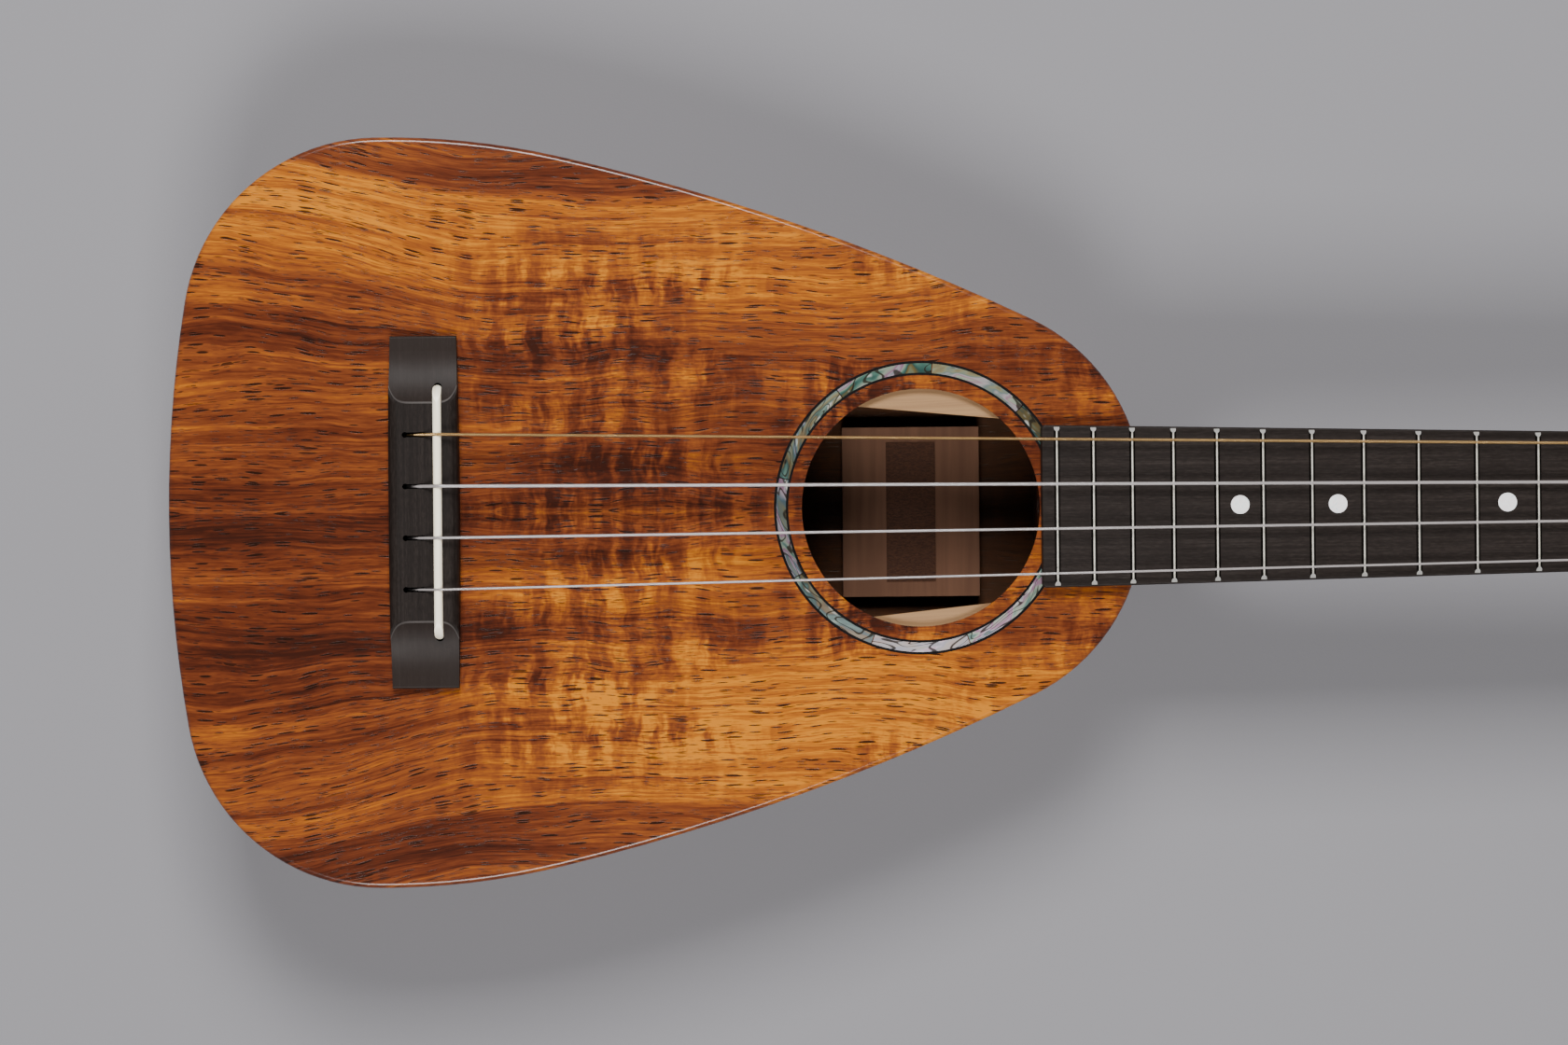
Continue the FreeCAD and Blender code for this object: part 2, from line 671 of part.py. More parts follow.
def make_fretboard():
    blank = board_blank()
    frets = [make_fret(n) for n in range(1, FRET_COUNT + 1)]
    slots = []
    for n in range(1, FRET_COUNT + 1):
        x, half = fret_x(n), board_half_width(fret_x(n)) - FRET_INSET
        low, high = BOARD_TOP_Z - TANG_D, BOARD_TOP_Z + 1
        slots.append(box((x - TANG_W / 2, -half, low), (x + TANG_W / 2, half, high)))
    dots = [cylinder(DOT_R, (marker_x(n), 0, BOARD_TOP_Z - DOT_T), Z_AXIS, DOT_T) for n in DOT_FRETS]
    side_dots = []
    for n in DOT_FRETS:
        x = marker_x(n)
        start = (x, board_half_width(x) - 2.0, TOP_Z + BOARD_T / 2)
        side_dots.append(cylinder(SIDE_DOT_R, start, Y_AXIS, 6).common(blank))
    return {
        "fretboard": blank.cut(slots + dots + side_dots),
        "frets": group(frets),
        "position_dots": group(dots),
        "side_dots": group(side_dots),
    }


def make_nut(strings):
    half = BOARD_HALF_W_NUT
    top = NUT_SLOT_Z + 1.0
    x1 = SCALE + NUT_T
    side = [(SCALE, TOP_Z), (SCALE, top), (SCALE + 1.2, top), (x1, top - 2.0), (x1, TOP_Z)]
    nut = Part.Face(polygon([(x, -half, z) for x, z in side])).extrude(V(0, 2 * half, 0))
    rounded = [e for e in nut.Edges if e.BoundBox.ZMin > top - 2.1 and e.BoundBox.YLength < 0.1]
    nut = nut.makeFillet(0.8, rounded)
    slots = []
    for name, radius, place in STRINGS:
        route = [V(*p) for p in string_route(name, radius, place)]
        channel = tube(rounded_path([tuple(p) for p in route[2:]], (3.0,)), radius)
        lifted = [channel.copy() for _ in range(3)]
        for step, copy in enumerate(lifted):
            copy.translate(V(0, 0, 0.45 * (step + 1)))
        slots.extend([channel] + lifted)
    return {"nut": nut.cut(slots)}


# --- neck and headstock ----------------------------------------------------------------------------
def d_section(origin, outward, half_w, start, flat_at, reach):
    """Closed D section in the plane of Y and outward: round side at start, straight sides past flat_at."""
    o = V(*origin)
    depth = flat_at - start
    points = []
    for i in range(13):
        angle = math.pi * i / 12
        across = half_w * math.cos(angle)
        along = flat_at - depth * math.sin(angle) ** 0.9
        points.append(o + outward * along + V(0, across, 0))
    curve = Part.BSplineCurve()
    curve.interpolate(points)
    top_left = o + outward * reach + V(0, -half_w, 0)
    top_right = o + outward * reach + V(0, half_w, 0)
    return Part.Wire([
        curve.toShape(),
        Part.LineSegment(points[-1], top_left).toShape(),
        Part.LineSegment(top_left, top_right).toShape(),
        Part.LineSegment(top_right, points[0]).toShape(),
    ])


def heel():
    """A loft that swings round the heel's hollow curve, from the cap up to the neck's underside."""
    px, pz = HEEL_PIVOT
    ax, az = HEEL_CURVE
    reach = 86.0
    sections = []
    for degrees in (180, 165, 150, 135, 120, 105, 90):
        angle = math.radians(degrees)
        outward = V(math.cos(angle), 0, math.sin(angle))
        start = 1 / math.hypot(math.cos(angle) / ax, math.sin(angle) / az)
        share = (180 - degrees) / 90
        half_w = HEEL_TIP_HALF_W + share**0.8 * (board_half_width(px) - HEEL_TIP_HALF_W)
        depth = SHAFT_DEPTH_HEEL + 6.0 * (1 - share)
        sections.append(d_section((px, 0, pz), outward, half_w, start, start + depth, reach))
    swing = Part.makeLoft(sections, True, False)
    return swing.common(box((BODY_END_X, -60, HEEL_PIVOT[1]), (px, 60, TOP_Z)))


def neck_shaft():
    """The slim tapering neck, run on into the back of the head."""
    px = HEEL_PIVOT[0]
    sections = []
    for x, share in ((px, 0.0), (SCALE, 1.0), (SCALE + 22, 1.0)):
        depth = SHAFT_DEPTH_HEEL + share * (SHAFT_DEPTH_NUT - SHAFT_DEPTH_HEEL)
        half_w = board_half_width(min(x, SCALE))
        sections.append(d_section((x, 0, TOP_Z), Z_AXIS, half_w, -depth, 0.0, 5.0))
    shaft = Part.makeLoft(sections, True, True)
    shaft = shaft.common(box((px, -60, 0), (SCALE + 50, 60, TOP_Z)))
    return shaft.cut(to_head(box((0, -60, -HEAD_CORE_T / 2), (200, 60, 60))))


def head_outline():
    """Head outline in its own frame: waist at the nut, flare, long sides and a crowned tip."""
    start, flare = 17.2, 24.2
    corner = 9.0
    tip = HEAD_LENGTH
    edges = []
    for side in (1, -1):
        p = [
            (-3.0, side * start, 0),
            (1.0, side * start, 0),
            (10.5, side * (start + 1.9), 0),
            (20.0, side * flare, 0),
            (tip - corner, side * HEAD_WIDE_HALF, 0),
            (tip - 2.4, side * (HEAD_WIDE_HALF - 2.9), 0),
            (tip, side * (HEAD_WIDE_HALF - corner), 0),
        ]
        edges.append(line(p[0], p[1]))
        edges.append(arc(p[1], p[2], p[3]))
        edges.append(line(p[3], p[4]))
        edges.append(arc(p[4], p[5], p[6]))
    edges.append(line((-3.0, -start, 0), (-3.0, start, 0)))
    crown_half = HEAD_WIDE_HALF - corner
    edges.append(arc((tip, crown_half, 0), (tip + 4.0, 0, 0), (tip, -crown_half, 0)))
    return Part.Wire(Part.__sortEdges__(edges))


def head_bores(radius, low, high):
    bores = []
    for _, along, across, _ in tuners():
        bore = cylinder(radius, (0, 0, low), Z_AXIS, high - low)
        bores.append(to_head(bore, along, across))
    return bores


def screw_bores():
    bores = []
    for _, along, across, _ in tuners():
        for a in SCREW_A:
            bore = cylinder(SCREW_R, (a, 0, -HEAD_CORE_T - 0.1), Z_AXIS, SCREW_L + 0.1 - PLATE_T)
            bores.append(to_head(bore, along, across))
    return bores


def make_neck():
    head = to_head(prism(head_outline(), -HEAD_CORE_T, 0))
    head = head.common(box((SCALE - 1, -60, 0), (700, 60, TOP_Z)))
    neck = heel().fuse([neck_shaft(), head])
    neck = neck.cut(head_bores(BUSH_R, HEAD_VENEER_T - BUSH_L, 10))
    neck = neck.cut(head_bores(POST_R + 0.4, -HEAD_CORE_T - 8, 0))
    neck = neck.cut(screw_bores())
    return neck.cut(bolt_bores(INSERT_R, BODY_END_X - 1, BODY_END_X + INSERT_L))


def make_heel_cap():
    foot_z = HEEL_PIVOT[1]
    feet = [f for f in heel().Faces if f.BoundBox.ZMax < foot_z + 1e-4]
    return {"heel_cap": feet[0].extrude(V(0, 0, -foot_z))}


def make_veneer():
    veneer = to_head(prism(head_outline(), 0, HEAD_VENEER_T))
    veneer = veneer.common(box((SCALE + NUT_T, -60, 0), (700, 60, 100)))
    return {"headstock_veneer": veneer.cut(head_bores(BUSH_R, -5, 10))}


def make_bolts():
    bolts, inserts = [], []
    head_x = NECK_BLOCK_X + 0.5
    for z in BOLT_HEIGHTS:
        head = cylinder(BOLT_HEAD_R, (head_x, 0, z), X_AXIS, BOLT_HEAD_L)
        corners = []
        for i in range(6):
            angle = math.radians(60 * i)
            corners.append((head_x - 1, 2.9 * math.cos(angle), z + 2.9 * math.sin(angle)))
        socket = Part.Face(polygon(corners)).extrude(V(4.0, 0, 0))
        shank = cylinder(BOLT_R, (head_x, 0, z), X_AXIS, BODY_END_X + INSERT_L - head_x - 1)
        bolts.append(head.cut(socket).fuse(shank.cut(socket)))
        insert = cylinder(INSERT_R, (BODY_END_X, 0, z), X_AXIS, INSERT_L)
        inserts.append(insert.cut(cylinder(BOLT_R, (BODY_END_X, 0, z), X_AXIS, INSERT_L)))
    return {"neck_bolts": group(bolts), "neck_inserts": group(inserts)}


# --- tuners, modelled with the post axis on Z and the head's back face at -HEAD_CORE_T -------------
BACK_FACE = -HEAD_CORE_T
WORM_Z = BACK_FACE - GEAR_LIFT - GEAR_W / 2


def tuner_plate():
    a0, a1 = PLATE_A
    plate = box((a0, -PLATE_HALF_W, BACK_FACE - PLATE_T), (a1, PLATE_HALF_W, BACK_FACE))
    corners = [e for e in plate.Edges if e.BoundBox.ZLength > 0.5]
    plate = plate.makeFillet(2.5, corners)
    for side in (1, -1):
        b0, b1 = sorted((side * EAR_B[0], side * EAR_B[1]))
        a_low, a_high = CENTRE_DISTANCE - EAR_HALF_W, CENTRE_DISTANCE + EAR_HALF_W
        ear = box((a_low, b0, WORM_Z), (a_high, b1, BACK_FACE - PLATE_T / 2))
        boss = cylinder(EAR_HALF_W, (CENTRE_DISTANCE, b0, WORM_Z), Y_AXIS, b1 - b0)
        plate = plate.fuse(ear.fuse(boss))
    plate = plate.cut(cylinder(1.5 + RUNNING_CLEARANCE, (CENTRE_DISTANCE, -10, WORM_Z), Y_AXIS, 20))
    plate = plate.cut(cylinder(POST_R + RUNNING_CLEARANCE, (0, 0, BACK_FACE - 5), Z_AXIS, 10))
    for a in SCREW_A:
        plate = plate.cut(cylinder(SCREW_R, (a, 0, BACK_FACE - 5), Z_AXIS, 10))
    return plate.removeSplitter()


def plate_screw(a):
    shank = cylinder(SCREW_R, (a, 0, BACK_FACE - PLATE_T), Z_AXIS, SCREW_L)
    dome = Part.makeSphere(2.6, V(a, 0, BACK_FACE - PLATE_T + 1.3))
    head = dome.common(cylinder(SCREW_HEAD_R, (a, 0, BACK_FACE - PLATE_T - 3), Z_AXIS, 3))
    low, high = BACK_FACE - PLATE_T - 3, BACK_FACE - PLATE_T - 0.6
    cross = [
        box((a - 1.3, -0.25, low), (a + 1.3, 0.25, high)),
        box((a - 0.25, -1.3, low), (a + 0.25, 1.3, high)),
    ]
    return head.cut(cross).fuse(shank)


def tuner_bushing():
    low = HEAD_VENEER_T - BUSH_L
    sleeve = cylinder(BUSH_R, (0, 0, low), Z_AXIS, BUSH_L)
    flange = Part.makeCone(BUSH_FLANGE_R, BUSH_FLANGE_R - 0.7, BUSH_FLANGE_T, V(0, 0, HEAD_VENEER_T))
    return sleeve.fuse(flange).cut(cylinder(POST_R + RUNNING_CLEARANCE, (0, 0, low), Z_AXIS, 20))


def tuner_post():
    """Post with a waist for the string, a drilled string hole and a spigot for the gear."""
    top = HEAD_VENEER_T + POST_ABOVE_VENEER
    shoulder = BACK_FACE - GEAR_LIFT
    spigot_end = shoulder - GEAR_W
    waist_low = HEAD_VENEER_T + WINDING_LOW - 0.6
    waist_high = waist_low + 5.2
    profile = [
        (0, spigot_end), (1.8, spigot_end), (1.8, shoulder), (POST_R, shoulder),
        (POST_R, waist_low - 0.4), (POST_WAIST_R, waist_low), (POST_WAIST_R, waist_high),
        (POST_R, waist_high + 0.5), (POST_R, top - 0.8), (POST_R - 0.8, top), (0, top),
    ]
    face = Part.Face(polygon([(r, 0, z) for r, z in profile]))
    post = face.revolve(V(0, 0, 0), Z_AXIS, 360)
    post = post.cut(cylinder(0.9, (-5, 0, waist_high - 0.9), X_AXIS, 10))
    return post.cut(cylinder(1.0, (0, 0, spigot_end - 1), Z_AXIS, 6))


def gear_screw():
    shoulder = BACK_FACE - GEAR_LIFT - GEAR_W
    shank = cylinder(1.0, (0, 0, shoulder), Z_AXIS, 5.0)
    head = Part.makeCone(1.9, 2.4, 1.3, V(0, 0, shoulder - 1.3))
    slot = box((-3, -0.3, shoulder - 2), (3, 0.3, shoulder - 0.7))
    return head.cut(slot).fuse(shank)


def gear_wheel():
    """Wheel with oblique straight gaps, cut at the worm's lead angle; one gap faces the worm."""
    low = BACK_FACE - GEAR_LIFT - GEAR_W
    wheel = cylinder(GEAR_TIP_R, (0, 0, low), Z_AXIS, GEAR_W)
    root_w, tip_w = 0.56, 1.78
    reach = 0.4
    slope = (tip_w - root_w) / 2 / (GEAR_TIP_R - GEAR_ROOT_R)
    far = tip_w / 2 + slope * reach
    tool = Part.Face(polygon([
        (GEAR_ROOT_R, -root_w / 2, -4), (GEAR_ROOT_R, root_w / 2, -4),
        (GEAR_TIP_R + reach, far, -4), (GEAR_TIP_R + reach, -far, -4),
    ])).extrude(V(0, 0, 8))
    tool.rotate(V(0, 0, 0), X_AXIS, -math.degrees(LEAD))
    tool.translate(V(0, 0, WORM_Z))
    gaps = []
    for k in range(TEETH):
        gap = tool.copy()
        gap.rotate(V(0, 0, 0), Z_AXIS, 360 / TEETH * k)
        gaps.append(gap)
    wheel = wheel.cut(gaps)
    return wheel.cut(cylinder(1.8, (0, 0, low - 1), Z_AXIS, GEAR_W + 2))


def worm_thread():
    """Right-handed helical thread about +Y, with a thread centre facing the wheel at y = 0."""
    turns = math.ceil(WORM_HALF_L / WORM_PITCH) + 0.6
    length = 2 * turns * WORM_PITCH
    helix = Part.makeHelix(WORM_PITCH, length, WORM_PITCH_R)
    depth_in = WORM_PITCH_R - WORM_CORE_R + 0.15
    inner = WORM_TOOTH_W / 2 + depth_in * FLANK
    outer = WORM_TOOTH_W / 2 - MODULE * FLANK
    r_in, r_out = WORM_PITCH_R - depth_in, WORM_TIP_R
    section = polygon([(r_in, 0, -inner), (r_out, 0, -outer), (r_out, 0, outer), (r_in, 0, inner)])
    thread = helix.makePipeShell([section], True, True)
    # The helix starts on +X; bring the thread's middle to z = 0 on -X, then lay the axis on +Y.
    thread.translate(V(0, 0, -turns * WORM_PITCH))
    start_turn = (turns - math.floor(turns)) * 360
    thread.rotate(V(0, 0, 0), Z_AXIS, 180 - start_turn)
    thread.rotate(V(0, 0, 0), X_AXIS, -90)
    return thread


def worm_shaft():
    b_in = -EAR_B[1] - 0.8
    b_out = BUTTON_B[1] - 3.0
    core = cylinder(WORM_CORE_R, (0, -EAR_B[0] + 0.2, 0), Y_AXIS, 2 * EAR_B[0] - 0.4)
    journals = [
        cylinder(1.5, (0, b_in, 0), Y_AXIS, EAR_B[1] - EAR_B[0] + 1.0),
        cylinder(1.5, (0, EAR_B[0] - 0.2, 0), Y_AXIS, b_out - EAR_B[0] + 0.2),
    ]
    head = Part.makeCone(1.6, 2.3, 0.7, V(0, b_in - 0.5, 0), Y_AXIS)
    collar = cylinder(2.4, (0, EAR_B[1] + 0.15, 0), Y_AXIS, 1.2)
    limit = cylinder(WORM_TIP_R + 1, (0, -WORM_HALF_L, 0), Y_AXIS, 2 * WORM_HALF_L)
    shaft = core.fuse(journals + [head, collar, worm_thread().common(limit)])
    shaft = shaft.removeSplitter()
    shaft.translate(V(CENTRE_DISTANCE, 0, WORM_Z))
    return shaft


def tuner_button():
    """Pillow-shaped button: an oval plan, thinner at the rim than at the middle."""
    b0, b1 = BUTTON_B
    mid = (b0 + b1) / 2
    w, t = BUTTON_HALF_W, BUTTON_HALF_T
    plan = Part.Wire([
        arc((-2.6, b0, 0), (-w, mid + 1.0, 0), (-3.0, b1 - 0.3, 0)),
        arc((-3.0, b1 - 0.3, 0), (0, b1, 0), (3.0, b1 - 0.3, 0)),
        arc((3.0, b1 - 0.3, 0), (w, mid + 1.0, 0), (2.6, b0, 0)),
        line((2.6, b0, 0), (-2.6, b0, 0)),
    ])
    button = prism(plan, -t, t)
    button = button.makeFillet(1.3, [e for e in button.Edges if abs(e.BoundBox.ZLength) < 1e-6])
    button = button.cut(cylinder(1.5, (0, b0 - 1, 0), Y_AXIS, b1 - 3.0 - b0 + 1))
    button.translate(V(CENTRE_DISTANCE, 0, WORM_Z))
    return button


def string_winding(radius):
    low = HEAD_VENEER_T + WINDING_LOW
    height = (WINDING_TURNS + 0.5) * 2 * radius
    return ring((POST_WAIST_R, POST_WAIST_R + 2 * radius), low, low + height, centre=(0, 0))


def make_tuners():
    plates, bushings, screws = [], [], []
    nodes = {}
    radius_of = {name: radius for name, radius, _ in STRINGS}
    for name, along, across, mirrored in tuners():
        place = (along, across, 0.0, mirrored)
        plates.append(to_head(tuner_plate(), *place))
        bushings.append(to_head(tuner_bushing(), *place))
        screws.extend(to_head(plate_screw(a), *place) for a in SCREW_A)
        nodes["post_" + name] = to_head(tuner_post(), *place)
        nodes["gear_" + name] = to_head(gear_wheel(), *place)
        nodes["gear_screw_" + name] = to_head(gear_screw(), *place)
        nodes["winding_" + name] = to_head(string_winding(radius_of[name]), *place)
        nodes["worm_shaft_" + name] = to_head(worm_shaft(), *place)
        nodes["button_" + name] = to_head(tuner_button(), *place)
    nodes["tuner_plates"] = group(plates)
    nodes["tuner_bushings"] = group(bushings)
    nodes["tuner_screws"] = group(screws)
    return nodes


# --- the whole instrument --------------------------------------------------------------------------
def build():
    strings = string_solids()
    nodes = {"string_" + name: solid for name, solid in strings.items()}
    for maker in (make_top, make_back, make_sides, make_blocks, make_linings, make_braces, make_label):
        nodes.update(maker())
    nodes.update(make_rosette())
    nodes.update(make_bridge(strings))
    nodes.update(make_saddle(strings))
    nodes.update(make_fretboard())
    nodes.update(make_nut(strings))
    nodes["neck"] = make_neck()
    for maker in (make_heel_cap, make_veneer, make_bolts, make_tuners):
        nodes.update(maker())
    return nodes


def main():
    os.makedirs("parts", exist_ok=True)
    for name, shape in sorted(build().items()):
        solids = shape.Solids
        good = all(s.isValid() and s.Volume > 0 for s in solids)
        print(f"{name}: {len(solids)} solid(s), {'valid' if good else 'NOT VALID'}")
        part = solids[0] if len(solids) == 1 else Part.makeCompound(solids)
        part.exportStep(f"parts/{name}.step")


main()
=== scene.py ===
"""Looks of the tenor ukulele: procedural materials on the CAD pieces, and the string coils that CAD
stands in for with sleeves. Lengths are in metres, in the CAD's frame: +X to the headstock, +Y to the
bass side, +Z out of the soundboard, z = 0 on the floor."""

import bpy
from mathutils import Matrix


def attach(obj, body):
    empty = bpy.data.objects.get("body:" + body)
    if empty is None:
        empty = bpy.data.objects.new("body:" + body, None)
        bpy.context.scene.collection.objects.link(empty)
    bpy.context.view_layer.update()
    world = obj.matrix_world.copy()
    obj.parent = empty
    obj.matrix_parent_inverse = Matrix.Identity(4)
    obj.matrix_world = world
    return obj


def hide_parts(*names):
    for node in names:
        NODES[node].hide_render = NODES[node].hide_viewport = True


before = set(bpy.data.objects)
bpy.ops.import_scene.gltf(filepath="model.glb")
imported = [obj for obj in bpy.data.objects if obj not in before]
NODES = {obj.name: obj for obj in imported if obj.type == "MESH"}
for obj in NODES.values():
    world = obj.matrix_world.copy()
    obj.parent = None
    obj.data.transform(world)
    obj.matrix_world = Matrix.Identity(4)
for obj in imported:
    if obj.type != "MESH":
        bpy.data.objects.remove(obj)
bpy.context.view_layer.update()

import math

import bpy
from mathutils import Vector

MM = 0.001

# --- dimensions shared with the CAD ----------------------------------------------------------------
SCALE = 432 * MM
TOP_Z = 68 * MM
TOP_UNDER_Z = 65.8 * MM
BACK_INNER_Z = 2.4 * MM
HOLE_X = 133.6 * MM
# Joints between the shell segments, by angle round the hole from the neck end of the bass side.
SHELL_JOINTS_DEG = (44.6, 85, 125, 167.5, 208.5, 249.5, 289.5, 330)
HEAD_TILT = math.radians(12)
HEAD_ORIGIN = Vector((436.8 * MM, 0, TOP_Z))
POST_WAIST_R = 2.7 * MM
WINDING_BASE = 5.4 * MM
WINDING_TURNS = 3.5
POINTS_PER_TURN = 24
POST_HOLE_HEIGHT = 9.1 * MM
# string: radius, place of its post along and across the headstock, place across the nut in string spaces
STRINGS = {
    "g": (0.40 * MM, 32.0 * MM, 16.5 * MM, 1.5),
    "c": (0.46 * MM, 78.0 * MM, 17.5 * MM, 0.5),
    "e": (0.38 * MM, 78.0 * MM, -17.5 * MM, -0.5),
    "a": (0.32 * MM, 32.0 * MM, -16.5 * MM, -1.5),
}
STRING_SPREAD_NUT = 28.5 * MM
STRING_SPACES = 3
NUT_SLOT_Z = 74.5 * MM


# --- camera ----------------------------------------------------------------------------------------
CAMERA_X = 95.3 * MM
CAMERA_Y = -3.8 * MM
CAMERA_DISTANCE = 1.218
CAMERA_TURN = math.radians(-0.54)


def make_camera():
    """Straight above the soundboard, turned half a degree, as the photograph was taken."""
    data = bpy.data.cameras.new("camera")
    data.sensor_width = 36
    data.lens = 100
    camera = bpy.data.objects.new("camera", data)
    camera.location = (CAMERA_X, CAMERA_Y, TOP_Z + CAMERA_DISTANCE)
    camera.rotation_euler = (0, 0, CAMERA_TURN)
    bpy.context.scene.collection.objects.link(camera)
    bpy.context.scene.camera = camera


# --- material building -----------------------------------------------------------------------------
class Look:
    """One material's node graph. Every argument may be a number, a colour or another node's socket."""

    def __init__(self, name):
        self.material = bpy.data.materials.new(name)
        self.material.use_nodes = True
        self.tree = self.material.node_tree
        self.tree.nodes.clear()
        self.place = self.node("ShaderNodeTexCoord").outputs["Object"]
        split = self.node("ShaderNodeSeparateXYZ")
        self.tree.links.new(self.place, split.inputs[0])
        self.x, self.y, self.z = split.outputs

    def node(self, kind, **settings):
        node = self.tree.nodes.new(kind)
        for key, value in settings.items():
            setattr(node, key, value)
        return node

    def feed(self, socket, value):
        if isinstance(value, bpy.types.NodeSocket):
            self.tree.links.new(value, socket)
        elif isinstance(value, tuple) and len(value) == 3 and socket.type == "RGBA":
            socket.default_value = (*value, 1)
        else:
            socket.default_value = value

    def math(self, operation, *values, clamp=False):
        node = self.node("ShaderNodeMath", operation=operation, use_clamp=clamp)
        for socket, value in zip(node.inputs, values):
            self.feed(socket, value)
        return node.outputs[0]

    def add(self, a, b):
        return self.math("ADD", a, b)

    def times(self, a, b):
        return self.math("MULTIPLY", a, b)

    def vector(self, x, y, z=0.0):
        node = self.node("ShaderNodeCombineXYZ")
        for socket, value in zip(node.inputs, (x, y, z)):
            self.feed(socket, value)
        return node.outputs[0]

    def at(self, *axes):
        """A place in a pattern: each axis is a number, a socket, or a (socket, repeats per metre) pair."""
        return self.vector(*(self.times(*axis) if isinstance(axis, tuple) else axis for axis in axes))

    def step(self, value, low, high):
        """0 below low, 1 above high, smooth between; a low above high turns it round."""
        node = self.node("ShaderNodeMapRange", interpolation_type="SMOOTHSTEP")
        self.feed(node.inputs["Value"], value)
        node.inputs["From Min"].default_value = low
        node.inputs["From Max"].default_value = high
        return node.outputs["Result"]

    def noise(self, place, detail=2.0, roughness=0.5, distortion=0.0):
        node = self.node("ShaderNodeTexNoise")
        self.feed(node.inputs["Vector"], place)
        node.inputs["Scale"].default_value = 1.0
        node.inputs["Detail"].default_value = detail
        node.inputs["Roughness"].default_value = roughness
        node.inputs["Distortion"].default_value = distortion
        return node.outputs["Fac"]

    def normal(self):
        """The surface's normal, as x, y and z sockets."""
        split = self.node("ShaderNodeSeparateXYZ")
        self.tree.links.new(self.node("ShaderNodeNewGeometry").outputs["Normal"], split.inputs[0])
        return split.outputs

    def cells(self, place):
        """Distance to the nearest of many scattered points, and that point's random number."""
        node = self.node("ShaderNodeTexVoronoi")
        self.feed(node.inputs["Vector"], place)
        node.inputs["Scale"].default_value = 1.0
        split = self.node("ShaderNodeSeparateColor")
        self.tree.links.new(node.outputs["Color"], split.inputs[0])
        return node.outputs["Distance"], split.outputs[0]

    def dashes(self, along, line, per_length, per_width, seed):
        """Scattered short dashes along the grain, as open pores look where the saw runs along them."""
        distance, chance = self.cells(self.at((along, per_length), (line, per_width), seed))
        size = self.add(0.09, self.times(chance, 0.27))
        return self.step(self.math("SUBTRACT", distance, size), 0.05, -0.03)

    def ramp(self, value, stops):
        """A colour that changes along value, given as (position, colour) pairs."""
        node = self.node("ShaderNodeValToRGB")
        self.feed(node.inputs[0], value)
        band = node.color_ramp
        band.interpolation = "LINEAR"
        while len(band.elements) < len(stops):
            band.elements.new(1.0)
        for element, (position, colour) in zip(band.elements, stops):
            element.position = position
            element.color = (*colour, 1)
        return node.outputs[0]

    def profile(self, value, stops):
        """A number that changes along value, given as (position, number) pairs."""
        return self.ramp(value, [(position, (level, level, level)) for position, level in stops])

    def spread(self, noise, amount):
        """A noise centred on zero and scaled."""
        return self.times(self.add(noise, -0.5), amount)

    def mix(self, share, a, b, blend="MIX"):
        node = self.node("ShaderNodeMix", data_type="RGBA", blend_type=blend)
        self.feed(node.inputs[0], share)
        self.feed(node.inputs[6], a)
        self.feed(node.inputs[7], b)
        return node.outputs[2]

    def scaled(self, colour, factor):
        """A colour made darker or lighter by a number."""
        node = self.node("ShaderNodeVectorMath", operation="SCALE")
        self.feed(node.inputs[0], colour)
        self.feed(node.inputs["Scale"], factor)
        return node.outputs[0]

    def bump(self, height, distance):
        """A surface roughened by a height from 0 to 1 that stands for the distance."""
        node = self.node("ShaderNodeBump")
        node.inputs["Strength"].default_value = 1.0
        node.inputs["Distance"].default_value = distance
        self.feed(node.inputs["Height"], height)
        return node.outputs[0]

    def finish(self, **inputs):
        """The finished material, with the given inputs on its one shader."""
        shader = self.node("ShaderNodeBsdfPrincipled")
        for name, value in inputs.items():
            self.feed(shader.inputs[name.replace("_", " ")], value)
        output = self.node("ShaderNodeOutputMaterial")
        self.tree.links.new(shader.outputs[0], output.inputs[0])
        return self.material


# --- wood ------------------------------------------------------------------------------------------
KOA_TONES = [
    (0.00, (0.028, 0.0068, 0.0034)),
    (0.15, (0.052, 0.0110, 0.0044)),
    (0.34, (0.090, 0.0195, 0.0065)),
    (0.52, (0.140, 0.0350, 0.0095)),
    (0.68, (0.208, 0.0545, 0.0085)),
    (0.84, (0.310, 0.0880, 0.0065)),
    (1.00, (0.450, 0.1520, 0.0080)),
]
# how far each layer moves the koa's tone, on the scale of KOA_TONES
KOA_BROAD = 0.55
KOA_STREAKS = 1.10
KOA_PATCHES = 0.50
KOA_FIBRES = 0.90
KOA_FIGURE = 0.54
KOA_CLOUD = -0.22
KOA_MOTTLE = 0.40
KOA_GROWTH = -0.20
# how far the grain wanders across the board, over long and short waves
GRAIN_DRIFT = 17 * MM
GRAIN_WANDER = 5 * MM
# how far the grain of the plates fans out towards the tail
GRAIN_FAN = -15 * MM
KOA_COAT = 0.35
# the sides' grain is laid out by angle about this point, times a mean radius
RIM_CENTRE_X = -5 * MM
RIM_MEAN_R = 105 * MM
# open pores per metre along and across the grain, coarse and fine
PORES = (135, 1350)
FINE_PORES = (240, 2600)
PORE_TINT = (0.022, 0.0070, 0.0030)


